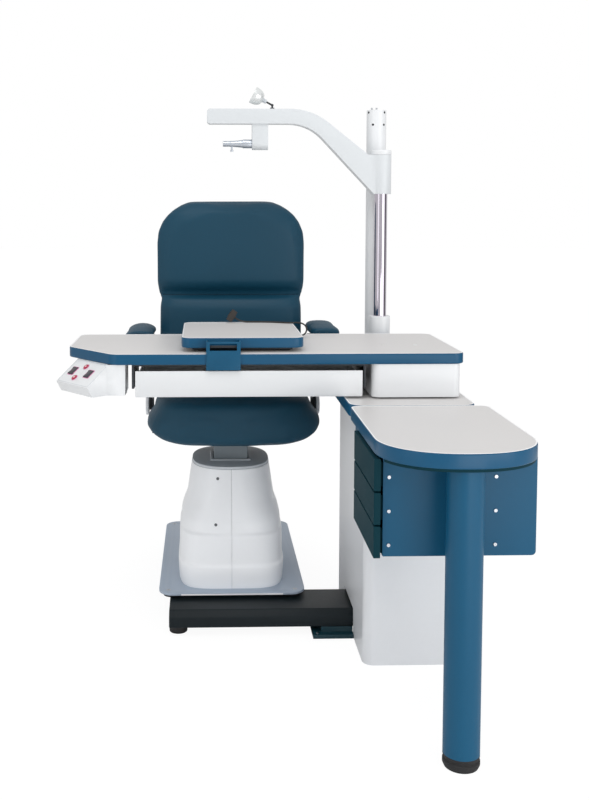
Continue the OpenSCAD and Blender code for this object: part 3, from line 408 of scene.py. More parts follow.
SHELL = Finish("look_white_moulding", (246, 248, 251), 0.34, Relief.MOULDED, 0.0014, 0.00002,
               coat=0.1, shade=0.015)
ARM = Finish("look_arm_paint", (216, 220, 223), 0.36, Relief.PEEL, 0.002, 0.00003, coat=0.15,
             shade=0.015)
CAP_GREY = Finish("look_grey_moulding", (200, 205, 210), 0.5, Relief.MOULDED, 0.0012, 0.00004,
                  shade=0.05)
SHELL_DARK = Finish("look_back_shell", (58, 61, 66), 0.5, Relief.MOULDED, 0.0012, 0.00004,
                    shade=0.06)
LIFT = Finish("look_lift_steel", (128, 137, 143), 0.42, Relief.BRUSHED, 0.0012, 0.00003,
              metallic=0.25, shade=0.08)
PLATE = Finish("look_plate_paint", (168, 181, 197), 0.4, Relief.PEEL, 0.0012, 0.00006,
               metallic=0.1, shade=0.05)
BEAM = Finish("look_beam_paint", (22, 30, 34), 0.45, Relief.PEEL, 0.0012, 0.00005, shade=0.1,
              gloss=0.2)
JOINT = Finish("look_joint_paint", (14, 52, 62), 0.42, Relief.PEEL, 0.0012, 0.00005, shade=0.08,
               gloss=0.4)
DARK = Finish("look_dark_steel", (46, 50, 55), 0.45, Relief.PEEL, 0.0012, 0.00004, shade=0.08,
              gloss=0.4)
RUBBER = Finish("look_black_rubber", (27, 27, 29), 0.6, Relief.RUBBER, 0.001, 0.00005, shade=0.1)
# Chrome, with a faint violet tint that paints the reflection of violet surroundings.
CHROME = Finish("look_chrome", (206, 200, 210), 0.07, Relief.SMOOTH, 0.02, 0.000005, metallic=1.0,
                shade=0.02, spread=0.03)
STEEL = Finish("look_plain_steel", (190, 193, 198), 0.3, Relief.BRUSHED, 0.0008, 0.00002,
               metallic=1.0, shade=0.06)
PIN = Finish("look_turned_steel", (200, 206, 214), 0.32, Relief.TURNED, 0.0006, 0.00001,
             metallic=0.7, shade=0.05)
SWITCH = Finish("look_switch", (30, 22, 40), 0.22, Relief.MOULDED, 0.0008, 0.00001, coat=0.3)
BEZEL = Finish("look_switch_rim", (224, 150, 186), 0.3, Relief.MOULDED, 0.0008, 0.00001)
BUTTON = Finish("look_red_button", (176, 20, 60), 0.25, Relief.MOULDED, 0.0008, 0.00001, coat=0.4)
BUTTON_EYE = Finish("look_button_eye", (242, 206, 214), 0.3, Relief.MOULDED, 0.0008, 0.00001)
CABLE = Finish("look_cable", (40, 37, 36), 0.55, Relief.RUBBER, 0.0008, 0.00003, shade=0.1)
PLUG = Finish("look_connector", (50, 46, 43), 0.5, Relief.MOULDED, 0.0008, 0.00004, shade=0.12)
REFLECTOR = Finish("look_reflector", (228, 231, 231), 0.2, Relief.SMOOTH, 0.004, 0.0002,
                   metallic=0.45, shade=0.06)
GLASS = Finish("look_lamp_glass", (240, 244, 244), 0.05, Relief.SMOOTH, 0.006, 0.00005,
               clear=0.9, shade=0.0)
BULB = Finish("look_bulb", (250, 246, 232), 0.15, Relief.SMOOTH, 0.004, 0.00002, glow=0.5)
# Grey of a screw head, darkened further as painted shade of the recess round it.
SCREW_GREY_AND_SHADE = Finish("look_screw_grey_and_recess_shade", (92, 94, 98), 0.5, Relief.MOULDED, 0.001, 0.00003)


def link(name: str, data: bpy.types.ID) -> bpy.types.Object:
    """Puts new data into the scene.

    Args:
        name: Name of the object.
        data: Its mesh, curve, lamp or camera.

    Returns:
        The object.
    """
    made = bpy.data.objects.new(name, data)
    bpy.context.scene.collection.objects.link(made)
    return made


def smooth(mesh: bpy.types.Mesh, angle: float = 38.0) -> None:
    """Shades a mesh smooth up to an angle between faces, in degrees."""
    mesh.polygons.foreach_set("use_smooth", [True] * len(mesh.polygons))
    mesh.set_sharp_from_angle(angle=math.radians(angle))


def piece(
    name: str,
    mesh: Union[bpy.types.Mesh, bpy.types.Curve],
    finish: Finish,
    body: str,
    stands_for: Iterable[str] = (),
) -> bpy.types.Object:
    """Adds a finished piece that rides on a body.

    Args:
        name: Name of the piece.
        mesh: Its mesh or curve.
        finish: Its look.
        body: The body that carries it.
        stands_for: Solids that it takes the place of.

    Returns:
        The object.
    """
    made = link(name, mesh)
    mesh.materials.clear()
    mesh.materials.append(finish.material())
    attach(made, body)
    names = list(stands_for)
    if names:
        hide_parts(*names)
    LOG.info("%s on %s in %s", name, body, finish.name)
    return made


def baked(obj: bpy.types.Object) -> bpy.types.Mesh:
    """Returns obj's mesh with its modifiers applied, and removes obj."""
    bpy.context.view_layer.update()
    deps = bpy.context.evaluated_depsgraph_get()
    mesh = bpy.data.meshes.new_from_object(obj.evaluated_get(deps), depsgraph=deps)
    bpy.data.objects.remove(obj)
    return mesh


def clean_copy(node: str) -> bpy.types.Mesh:
    """Copies a solid's mesh with its flat faces joined.

    Args:
        node: Name of the solid.

    Returns:
        The copy.
    """
    bm = bmesh.new()
    bm.from_mesh(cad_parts[node].data)
    bmesh.ops.remove_doubles(bm, verts=bm.verts, dist=1e-5)
    bmesh.ops.dissolve_limit(
        bm, angle_limit=math.radians(0.5), verts=bm.verts, edges=bm.edges
    )
    mesh = bpy.data.meshes.new(node + "_copy")
    bm.to_mesh(mesh)
    bm.free()
    return mesh


def softened(
    node: str, finish: Finish, body: str, width: float, steps: int = 3, angle: float = 40.0
) -> bpy.types.Object:
    """Stands for a solid with a copy whose sharp edges are rounded.

    Args:
        node: The solid.
        finish: Its look.
        body: The body that carries it.
        width: Width of the rounding.
        steps: Faces across the rounding.
        angle: Edges sharper than this, in degrees, are rounded.

    Returns:
        The piece.
    """
    rough = link(node + "_rough", clean_copy(node))
    bevel = rough.modifiers.new("edges", "BEVEL")
    bevel.limit_method = "ANGLE"
    bevel.angle_limit = math.radians(angle)
    bevel.width, bevel.segments = width, steps
    bevel.use_clamp_overlap = True
    bevel.harden_normals = True
    smooth(rough.data, 180)
    return piece(node + "_soft", baked(rough), finish, body, [node])


def dress(finish: Finish, *nodes: str) -> None:
    """Gives solids whose shape is right their finish.

    Args:
        finish: The look.
        nodes: The solids.
    """
    for node in nodes:
        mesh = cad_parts[node].data
        mesh.materials.clear()
        mesh.materials.append(finish.material())
        LOG.info("%s in %s", node, finish.name)


def grid(
    name: str, rows: Sequence[Sequence[Point]], closed_rows: bool = True, caps: bool = False
) -> bpy.types.Mesh:
    """Builds a skin through rows of points.

    Args:
        name: Name of the mesh.
        rows: Rows of equally many points.
        closed_rows: Whether each row is a ring.
        caps: Whether the first and last ring are closed.

    Returns:
        The mesh, with doubled points merged and normals outwards.
    """
    bm = bmesh.new()
    verts = [[bm.verts.new(p) for p in row] for row in rows]
    count = len(rows[0])
    last = count if closed_rows else count - 1
    for low, high in zip(verts, verts[1:]):
        for k in range(last):
            n = (k + 1) % count
            bm.faces.new((low[k], low[n], high[n], high[k]))
    if caps:
        bm.faces.new(verts[0])
        bm.faces.new(verts[-1])
    bmesh.ops.remove_doubles(bm, verts=bm.verts, dist=1e-6)
    bmesh.ops.recalc_face_normals(bm, faces=bm.faces)
    mesh = bpy.data.meshes.new(name)
    bm.to_mesh(mesh)
    bm.free()
    smooth(mesh)
    return mesh


def turned(
    name: str, profile: Sequence[Flat], at: Point, axis: Point = (0, 0, 1), count: int = 48
) -> bpy.types.Mesh:
    """Turns a closed profile round an axis.

    Args:
        name: Name of the mesh.
        profile: Radius and place along the axis, from end to end.
        at: Start of the axis.
        axis: Its direction.
        count: Points round it.

    Returns:
        The mesh.
    """
    turn = Matrix.Translation(at) @ Vector(axis).to_track_quat("Z", "Y").to_matrix().to_4x4()
    rows = [
        [
            tuple(turn @ Vector((r * math.cos(a), r * math.sin(a), z)))
            for a in (2 * math.pi * k / count for k in range(count))
        ]
        for r, z in profile
    ]
    return grid(name, rows)


def outline(points: Sequence[Flat], radii: Sequence[float], steps: int = 10) -> list[Vector]:
    """Rounds the corners of a closed outline.

    Args:
        points: Its corners, anticlockwise.
        radii: Radius of each corner.
        steps: Faces in a corner.

    Returns:
        The outline's points.
    """
    out: list[Vector] = []
    count = len(points)
    for i, radius in enumerate(radii):
        before, at, after = (Vector(points[(i + d) % count]) for d in (-1, 0, 1))
        u, v = (before - at).normalized(), (after - at).normalized()
        half = u.angle(v) / 2
        centre = at + (u + v).normalized() * (radius / math.sin(half))
        start, end = at + u * radius / math.tan(half), at + v * radius / math.tan(half)
        a = math.atan2(*(start - centre).yx)
        turn = (math.atan2(*(end - centre).yx) - a + 3 * math.pi) % (2 * math.pi) - math.pi
        for k in range(steps + 1):
            f = a + turn * k / steps
            out.append(centre + Vector((math.cos(f), math.sin(f))) * radius)
    return out


def normals(line: Sequence[Vector]) -> list[Vector]:
    """Returns the outward normal at each point of an anticlockwise outline."""
    out = []
    count = len(line)
    for i in range(count):
        along = line[(i + 1) % count] - line[i - 1]
        out.append(Vector((along.y, -along.x)).normalized())
    return out


def swept(
    name: str, line: Sequence[Vector], profile: Sequence[Flat], closed: bool = True
) -> bpy.types.Mesh:
    """Sweeps a closed profile along a flat outline.

    Args:
        name: Name of the mesh.
        line: The outline.
        profile: Distance outwards and height of each profile point.
        closed: Whether the outline closes.

    Returns:
        The mesh.
    """
    out = normals(line)
    if not closed:
        line, out = line[1:-1], out[1:-1]
    rows = [
        [(p.x + n.x * o, p.y + n.y * o, z) for o, z in profile] for p, n in zip(line, out)
    ]
    if closed:
        rows.append(rows[0])
    return grid(name, rows, caps=not closed)


@dataclass(frozen=True)
class Lamp:
    """A square lamp.

    Attributes:
        name: Its name.
        at: Its place.
        size: Length of its side.
        power: Its power in watts.
        aim: The point that it faces.
    """

    name: str
    at: Point
    size: float
    power: float
    aim: Point

    def hang(self) -> None:
        """Adds the lamp to the scene."""
        data = bpy.data.lights.new(self.name, "AREA")
        data.size, data.energy = self.size, self.power
        made = link(self.name, data)
        made.location = self.at
        towards = Vector(self.aim) - Vector(self.at)
        made.rotation_euler = towards.to_track_quat("-Z", "Y").to_euler()


@dataclass
class Stage:
    """Camera, lamps and floor.

    Attributes:
        eye: Place of the camera.
        pitch: Tilt of the camera below the horizon, in degrees.
        yaw: Turn of the camera to the right, in degrees.
        focus: Focal length in pixels.
        picture: Width and height of the picture in pixels.
        middle: Pixel on which the camera's axis lands.
        sensor: Height of the picture on the camera's sensor, in millimetres.
        lamps: The lamps.
        room_light: Strength of the room's light, where 1 is the white that the camera sees.
        floor_size: Size of the floor.
        floor_white: Strength of the white that the camera sees on the floor.
        floor_share: Share of that white; the rest is the floor with its shadow.
        cards: Name, place on the floor and turn in degrees of each dark card.
        card_side: Half width, foot and top of a dark card.
    """

    eye: Point = (-0.174, -2.911, 1.257)
    pitch: float = 4.0
    yaw: float = 1.5
    focus: float = 1000.0
    picture: tuple[int, int] = (589, 800)
    middle: Flat = (230.0, 281.0)
    sensor: float = 36.0
    lamps: tuple[Lamp, ...] = (
        Lamp("key", (3.2, -3.2, 1.2), 2.6, 46, (0.1, 0, 0.4)),
        Lamp("fill", (-3.2, -3.0, 1.2), 2.4, 14, (-0.2, 0, 0.4)),
        Lamp("top", (-0.2, -1.2, 3.8), 2.0, 36, (-0.1, 0, 0.6)),
        Lamp("low", (0.9, -2.6, 0.4), 0.9, 6, (-0.08, 0.2, 0.25)),
    )
    room_light: float = 0.68
    floor_size: float = 60.0
    floor_white: float = 1.06
    floor_share: float = 0.88
    cards: tuple[tuple[str, float, float, float], ...] = (
        ("card_right", 1.5, 0.3, -90), ("card_left", -1.5, -2.2, 36),
    )
    card_side: Point = (0.22, 0.4, 2.4)

    def camera(self) -> None:
        """Puts the camera at the photograph's place."""
        data = bpy.data.cameras.new("camera")
        made = link("camera", data)
        width, height = self.picture
        data.sensor_width = self.sensor
        data.lens = self.sensor * self.focus / height
        data.shift_x = (width / 2 - self.middle[0]) / height
        data.shift_y = (self.middle[1] - height / 2) / height
        made.location = self.eye
        made.rotation_euler = (math.radians(90 - self.pitch), 0, math.radians(-self.yaw))
        bpy.context.scene.camera = made

    def world(self) -> None:
        """Makes the surroundings: plain white to the camera, softer as light."""
        world = bpy.data.worlds.new("room")
        bpy.context.scene.world = world
        world.use_nodes = True
        room = Tree(world.node_tree)
        back = room.tree.nodes["Background"].inputs
        back["Color"].default_value = (1, 1, 1, 1)
        seen = room.node("ShaderNodeLightPath", output="Is Camera Ray")
        seen = seen.at_least(room.node("ShaderNodeLightPath", output="Is Transmission Ray"))
        room.feed(back["Strength"], seen * (1 - self.room_light) + self.room_light)

    def floor(self) -> None:
        """Lays the pale floor, which shows white but keeps a soft shadow."""
        half = self.floor_size / 2
        shader = Shader("look_floor")
        surface = shader.surface.inputs
        surface["Base Color"].default_value = (0.9, 0.9, 0.9, 1)
        surface["Roughness"].default_value = 0.9
        white = shader.node("ShaderNodeEmission", {}, {"Strength": self.floor_white})
        seen = shader.node("ShaderNodeLightPath", output="Is Camera Ray")
        plain = Sock(shader, shader.surface.outputs[0])
        blend = shader.node(
            "ShaderNodeMixShader", {}, {0: seen * self.floor_share, 1: plain, 2: white}
        )
        shader.feed(shader.tree.nodes["Material Output"].inputs[0], blend)
        corners = [(x, y, 0) for x, y in rectangle(-half, -half, half, half)]
        self.sheet("floor", corners, shader)

    def sheet(self, name: str, corners: Sequence[Point], shader: Shader) -> bpy.types.Object:
        """Adds one flat face that belongs to the stage.

        Args:
            name: Its name.
            corners: Its corners.
            shader: Its look.

        Returns:
            The object.
        """
        mesh = bpy.data.meshes.new(name)
        mesh.from_pydata(corners, [], [(0, 1, 2, 3)])
        mesh.materials.append(shader.material)
        made = link(name, mesh)
        return made

    def flags(self) -> None:
        """Hangs two dark cards that only shiny metal sees."""
        shader = Shader("look_dark_card")
        shader.surface.inputs["Base Color"].default_value = linear((44, 34, 54))
        half, foot, top = self.card_side
        corners = [(x, 0, z) for x, z in rectangle(-half, foot, half, top)]
        for name, x, y, turn in self.cards:
            card = self.sheet(name, corners, shader)
            card.location = (x, y, 0)
            card.rotation_euler = (0, 0, math.radians(turn))
            card.visible_camera = card.visible_diffuse = card.visible_shadow = False
            card.visible_transmission = False

    def light(self) -> None:
        """Makes the lamps, the room, the floor and the cards."""
        for lamp in self.lamps:
            lamp.hang()
        self.world()
        self.floor()
        self.flags()
        bpy.context.scene.view_settings.view_transform = "Standard"


@dataclass
class TrayCable:
    """The lead that leaves the sliding tray's carriage and lies on the tray with its connector.

    Attributes:
        route: Points of the lead in metres.
        width: Its diameter.
        plug_at: Middle of the connector.
        plug_lean: Lean of the connector, in degrees.
        plug_size: Width, depth and height of the connector.
    """

    route: tuple[Point, ...] = tuple(
        (*moved([(x, y)])[0], z / 1000)
        for x, y, z in (
            (-319.9, 168, 865), (-308, 168, 865), (-296, 169, 865.3), (-283, 172, 866.8),
            (-270, 178, 871), (-262, 186, 879), (-260, 195, 888.5), (-264, 203, 897),
            (-273, 209, 902.5), (-286, 214, 904.5), (-300, 219, 903.8), (-315, 226, 903.1),
            (-330, 234, 902.9), (-346, 242, 902.9), (-364, 249, 902.9), (-382, 253, 902.9),
            (-400, 256, 902.9), (-418, 257.5, 902.9), (-434, 258, 902.9), (-449, 258, 903.2),
            (-462, 258, 905.2), (-473.5, 258, 909.6), (-484.2, 258, 916.36),
        )
    )
    width: float = 0.005
    plug_at: Point = (-0.084548, 0.277, 0.9225)
    plug_lean: float = 33.0
    plug_size: Point = (0.022, 0.012, 0.038)

    def lead(self) -> bpy.types.Object:
        """Draws the lead as one smooth curve and returns it."""
        curve = bpy.data.curves.new("tray_lead", "CURVE")
        curve.dimensions = "3D"
        curve.bevel_depth, curve.bevel_resolution = self.width / 2, 4
        curve.resolution_u = 6
        curve.use_fill_caps = True
        spline = curve.splines.new("BEZIER")
        spline.bezier_points.add(len(self.route) - 1)
        for knot, place in zip(spline.bezier_points, self.route):
            knot.co = place
            knot.handle_left_type = knot.handle_right_type = "AUTO"
        return piece("tray_lead", curve, CABLE, "tray", ["tray_cable"])

    def connector(self) -> bpy.types.Object:
        """Builds the connector with its ribs and returns it."""
        w, d, h = self.plug_size
        bm = bmesh.new()
        place = Matrix.Translation(self.plug_at) @ Matrix.Rotation(
            math.radians(self.plug_lean), 4, "Y"
        )
        parts = [((0, 0, 0), (w * 0.86, d, h)), ((0, 0, h * 0.02), (w, d * 0.8, h * 0.5))]
        parts += [
            ((0, 0, h * (0.34 - 0.09 * k)), (w * 0.94, d * 0.98, h * 0.035)) for k in range(3)
        ]
        for middle, size in parts:
            made = bmesh.ops.create_cube(bm, size=1.0)["verts"]
            bmesh.ops.transform(
                bm, matrix=place @ Matrix.Translation(middle) @ Matrix.Diagonal((*size, 1)),
                verts=made,
            )
        bmesh.ops.bevel(
            bm, geom=bm.edges[:], offset=0.0009, segments=2, affect="EDGES", clamp_overlap=True
        )
        mesh = bpy.data.meshes.new("tray_connector")
        bm.to_mesh(mesh)
        bm.free()
        smooth(mesh)
        return piece("tray_connector", mesh, PLUG, "tray", ["cable_connector"])

    def relief(self) -> None:
        """Builds the tapered sleeve at the carriage."""
        start = Vector(self.route[0]) + Vector((-0.0002, 0, 0))
        profile = [(0.0026, 0.0), (0.0044, 0.0), (0.0044, 0.011)]
        profile += [(0.0042 - 0.0001 * k, 0.012 + 0.0012 * k) for k in range(8)]
        profile += [(0.0026, 0.0215), (0.0026, 0.0)]
        mesh = turned("lead_sleeve", profile, tuple(start), (1, 0, 0), 24)
        piece("lead_sleeve", mesh, RUBBER, "tray")

    def length(self) -> float:
        """Returns the lead's real length along its route."""
        points = [Vector(p) for p in self.route]
        return sum((b - a).length for a, b in zip(points, points[1:]))

    def build(self) -> None:
        lead, plug = self.lead(), self.connector()
        self.relief()
        round(self.length(), 3)


def unchanged(p: Vector) -> Vector:
    """Returns p as it is."""
    return p


@dataclass
class Padding:
    """One cushion or arm pad, swelled by cloth under pressure.

    Attributes:
        node: The plain solid that it takes the place of.
        body: The body that carries it.
        voxel: Size of the mesh.
        reach: Furthest that a point may swell.
        shrink: Share of the solid's size from which it swells.
        fill: How tight it is stuffed; not used.
        pressure: Pressure inside.
        foam: How often the swelling is evened out.
        rest: Keeps each point off what the cushion lies on.
        steps: Frames over which it swells.
        quality: Steps of the cloth in a frame.
        mass: Mass of a point of the cloth.
        stiffness: Resistance of the cloth to stretching and pressing.
        bending: Resistance of the cloth to bending.
        calm: Strength and rounds of the smoothing before it swells.
    """

    node: str
    body: str
    voxel: float = 0.006
    reach: float = 0.012
    shrink: float = 0.97
    fill: float = 0.7
    pressure: float = 4.0
    foam: int = 24
    rest: Callable[[Vector], Vector] = unchanged
    steps: int = 20
    quality: int = 4
    mass: float = 0.3
    stiffness: float = 12
    bending: float = 1.0
    calm: tuple[float, int] = (0.5, 6)

    def start(self) -> bpy.types.Object:
        """Returns an even mesh of the solid, a little smaller."""
        rough = link(self.node + "_start", clean_copy(self.node))
        lo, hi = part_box(self.node)
        middle = (lo + hi) / 2
        for vert in rough.data.vertices:
            vert.co = middle + (vert.co - middle) * self.shrink
        voxels = rough.modifiers.new("voxels", "REMESH")
        voxels.mode, voxels.voxel_size = "VOXEL", self.voxel
        calm = rough.modifiers.new("calm", "SMOOTH")
        calm.factor, calm.iterations = self.calm
        return link(self.node + "_cloth", baked(rough))

    def swell(self, cloth: bpy.types.Object) -> None:
        """Swells the mesh under pressure.

        Args:
            cloth: The mesh.
        """
        rest = [vert.co.copy() for vert in cloth.data.vertices]
        sim = cloth.modifiers.new("cloth", "CLOTH")
        sim.settings.use_pressure = True
        sim.settings.uniform_pressure_force = self.pressure
        sim.settings.effector_weights.gravity = 0
        sim.settings.quality, sim.settings.mass = self.quality, self.mass
        sim.settings.tension_stiffness = sim.settings.compression_stiffness = self.stiffness
        sim.settings.bending_stiffness = self.bending
        scene = bpy.context.scene
        for step in range(self.steps):
            scene.frame_set(step + 1)
        deps = bpy.context.evaluated_depsgraph_get()
        full = [vert.co.copy() for vert in cloth.evaluated_get(deps).data.vertices]
        cloth.modifiers.remove(sim)
        scene.frame_set(1)
        shifts = self.eased(cloth.data, [new - old for old, new in zip(rest, full)])
        for vert, old, shift in zip(cloth.data.vertices, rest, shifts):
            if shift.length > self.reach:
                shift = shift.normalized() * self.reach
            vert.co = old + shift

    def eased(self, mesh: bpy.types.Mesh, shifts: list[Vector]) -> list[Vector]:
        """Evens out the swelling, as foam under the cover does.

        Args:
            mesh: The cushion's mesh.
            shifts: How far each of its points moved.

        Returns:
            The evened moves.
        """
        for _ in range(self.foam):
            total = [shift.copy() for shift in shifts]
            count = [1] * len(shifts)
            for edge in mesh.edges:
                a, b = edge.vertices
                total[a] += shifts[b]
                total[b] += shifts[a]
                count[a] += 1
                count[b] += 1
            shifts = [t / n for t, n in zip(total, count)]
        return shifts

    def fitted(self, mesh: bpy.types.Mesh) -> None:
        """Stretches the swelled mesh to the solid's width, depth and height."""
        points = [vert.co for vert in mesh.vertices]
        lo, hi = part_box(self.node)
        for k in range(3):
            low, high = min(p[k] for p in points), max(p[k] for p in points)
            scale = (hi[k] - lo[k]) / (high - low)
            for p in points:
                p[k] = lo[k] + (p[k] - low) * scale

    def build(
        self, name: str, carve: Callable[[Vector], Vector] = unchanged
    ) -> bpy.types.Object:
        """Makes the padding.

        Args:
            name: Name of the piece.
            carve: Last change of a point, such as a seam's groove.

        Returns:
            The piece.
        """
        cloth = self.start()
        self.swell(cloth)
        finer = cloth.modifiers.new("finer", "SUBSURF")
        finer.levels = finer.render_levels = 1
        mesh = baked(cloth)
        self.fitted(mesh)
        for vert in mesh.vertices:
            vert.co = self.rest(carve(vert.co))
        smooth(mesh, 180)
        made = piece(name, mesh, VINYL, self.body, [self.node])
        return made


@dataclass
class Chair:
    """Seat, back and arm pads, with their metal.

    A fade is the place where a form starts and the length over which it grows.

    Attributes:
        pan_top: Height of the pan under the seat cushion.
        pan_drop: How far the cushion may hang in front of the pan.
        pan_edge: Fade towards the front, in which it hangs.
        clear: Gap under a cushion.
        pad_low: Lowest height of an arm pad's underside.
        middle_x: The chair's middle plane.
        half_width: Half the width over which the cushions are formed.
        round_half: Half the width of the back's flatter middle.
        crease_z: Height of the back cushion's crease.
        fold: Depth of the fold at the crease and its reach above and below.
        seam: Depth and reach of the sewn groove.
        seam_sink: How far the seam's thread lies under the cover.
        skin: Distance of the back cushion's middle layer from its rear, and the fade before it.
        arch: Height from which the back's top is arched, length of that part and its drop.
        wider: How far the back's sides are moved out.
        taller: How far the back's top is raised, and the height over which it is.
        pad_dome: Drop of the left arm pad's top, and the further drop at its sides.
        seat_low: Fade down the seat's lower part.
        seat_front: Fade towards the seat's front.
        seat_nose: Fade towards the foremost part, which hangs.
        side_front: Fade towards the front of the seat's full sides.
        belly: Height of the fullest line of the seat's sides, its reach and how far it stands out.
        hang: How far the seat's nose hangs.
        side_lift: How far the seat's underside rises at the sides.
        back_y: Rear face of the back cushion.
        left_pad: Corners of the left arm pad.
    """

    pan_top: float = 0.540
    pan_drop: float = 0.015
    pan_edge: Flat = (0.166, 0.03)
    clear: float = 0.0004
    pad_low: float = 0.8324
    middle_x: float = -0.080048
    half_width: float = 0.235
    round_half: float = 0.2
    crease_z: float = 0.967
    fold: Point = (0.018, 0.024, 0.009)
    seam: Flat = (0.0025, 0.0035)
    seam_sink: float = 0.0004
    skin: Flat = (0.03, 0.04)
    arch: Point = (1.12, 0.17, 0.010)
    wider: float = 0.0065
    taller: Flat = (0.006, 0.32)
    pad_dome: Flat = (0.009, 0.010)
    seat_low: Flat = (0.635, 0.09)
    seat_front: Flat = (0.29, 0.10)
    seat_nose: Flat = (0.20, 0.05)
    side_front: Flat = (0.328, 0.04)
    belly: Point = (0.578, 0.042, 0.021)
    hang: float = 0.014
    side_lift: float = 0.013
    back_y: float = 0.0
    left_pad: tuple[Vector, Vector] = (Vector(), Vector())

    def off_pan(self, p: Vector) -> Vector:
        """Returns p, but not under the pan's top, or a little lower in front of the pan."""
        drop = self.pan_drop * below(p.y, *self.pan_edge)
        return Vector((p.x, p.y, max(p.z, self.pan_top + self.clear - drop)))

    def off_support(self, p: Vector) -> Vector:
        """Returns p, but not under the underside of an arm pad."""
        return Vector((p.x, p.y, max(p.z, self.pad_low)))

    def off_bars(self, p: Vector) -> Vector:
        """Returns p, but not behind the back cushion's rear face."""
        return Vector((p.x, min(p.y, self.back_y - self.clear / 2), p.z))

    def stitched(self, p: Vector) -> Vector:
        """Returns p of the back, with its crease, its arched top and its full sides."""
        off, across = p.z - self.crease_z, p.x - self.middle_x
        deep, above, under = self.fold
        side = max(0.0, 1 - (abs(across) / self.half_width) ** 4)
        fold = deep * side * bell(off, above if off > 0 else under)
        depth = self.seam[0] * bell(off, self.seam[1]) + fold
        layer = self.back_y - self.skin[0]
        front = below(p.y, layer, self.skin[1])
        centre = Vector((self.middle_x, layer, p.z))
        inward = (centre - p).normalized() * (1 - front) + Vector((0, 1, 0)) * front
        start, length, drop = self.arch
        arch = clamp(abs(across) / self.round_half) ** 2.5 * max(0.0, (p.z - start) / length)
        wide = self.wider * clamp(across / self.round_half, -1.0)
        rise = self.taller[0] * max(0.0, off) / self.taller[1]
        return p + inward * depth + Vector((wide, 0, rise - drop * arch))

    def domed(self, p: Vector) -> Vector:
        """Returns p of the left arm pad, whose top is lower and rounder than the right one's."""
        lo, hi = self.left_pad
        up = (p.z - lo.z) / (hi.z - lo.z)
        across = (p.x - (lo.x + hi.x) / 2) / ((hi.x - lo.x) / 2)
        drop, more = self.pad_dome
        return p - Vector((0, 0, up * (drop + more * min(1.0, across**2))))

    def bellied(self, p: Vector) -> Vector:
        """Returns p of the seat, full at its sides in front and hanging lowest in its middle."""
        across = (p.x - self.middle_x) / self.half_width
        middle, reach, out = self.belly
        full = bell(p.z - middle, reach) * below(p.y, *self.side_front)
        hang = self.hang * below(p.y, *self.seat_nose)
        sides = self.side_lift * clamp(abs(across)) ** 2.2 * below(p.y, *self.seat_front)
        lift = (sides - hang) * below(p.z, *self.seat_low)
        return p + Vector((out * clamp(across**3, -1.0) * full, 0, lift))

    def seam_line(self, cushion: bpy.types.Object) -> None:
        """Lays the sewn seam along the crease, in a dark colour that paints the groove's shade.

        Args:
            cushion: The back cushion that it lies on.
        """
        tree = BVHTree.FromPolygons(
            [v.co for v in cushion.data.vertices], [p.vertices[:] for p in cushion.data.polygons]
        )
        lo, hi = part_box("back_cushion")
        points = []
        past, count = 0.002, 60
        for k in range(count + 1):
            x = lo.x - past + (hi.x - lo.x + 2 * past) * k / count
            hit = tree.ray_cast(Vector((x, lo.y - 0.2, self.crease_z)), Vector((0, 1, 0)))[0]
            if hit is not None:
                points.append(hit + Vector((0, self.seam_sink, 0)))
        curve = bpy.data.curves.new("back_seam", "CURVE")
        curve.dimensions, curve.bevel_depth, curve.bevel_resolution = "3D", 0.0011, 2
        spline = curve.splines.new("POLY")
        spline.points.add(len(points) - 1)
        for knot, place in zip(spline.points, points):
            knot.co = (*place, 1)
        piece("back_seam", curve, SEAM_SHADE, "chair")

    def build(self) -> None:
        """Makes the cushions, the pads and the chair's metal."""
        self.back_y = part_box("back_cushion")[1].y
        self.left_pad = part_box("left_arm_pad")
        seat = Padding("seat_cushion", "chair", reach=0.010, shrink=0.985, rest=self.off_pan)
        seat.build("seat_padding", self.bellied)
        back = Padding("back_cushion", "chair", reach=0.010, shrink=0.985, rest=self.off_bars)
        self.seam_line(back.build("back_padding", self.stitched))
        for side, carve in (("left", self.domed), ("right", unchanged)):
            Padding(
                f"{side}_arm_pad", f"{side}_armrest", voxel=0.004, reach=0.005, shrink=0.975,
                fill=0.8, foam=10, rest=self.off_support,
            ).build(f"{side}_arm_padding", carve)
            softened(f"{side}_arm_support", DARK, f"{side}_armrest", 0.002)
        softened("pivot_caps", SHELL, "chair", 0.003)
        softened("back_shell", SHELL_DARK, "chair", 0.006, 4)
        softened("lift_column", LIFT, "chair", 0.003)
        dress(DARK, "seat_frame")


# Height share of each section; its width and depth, 0 as at the top and 1 as at the foot; and
# its roundness, 0 for the squarest outline and 1 for the roundest.
SHROUD_SECTIONS = (
    (0.0, 0.93, 0.985, 0.0), (0.03, 1.0, 1.0, 0.0), (0.18, 1.06, 1.03, 0.0),
    (0.205, 0.98, 0.89, 0.05), (0.45, 0.95, 0.87, 0.35), (0.475, 0.88, 0.74, 0.45),
    (0.56, 0.80, 0.66, 0.6), (0.63, 0.62, 0.56, 0.75), (0.70, 0.40, 0.46, 0.85),
    (0.85, 0.20, 0.25, 1.0), (1.0, 0.0, 0.0, 1.0),
)


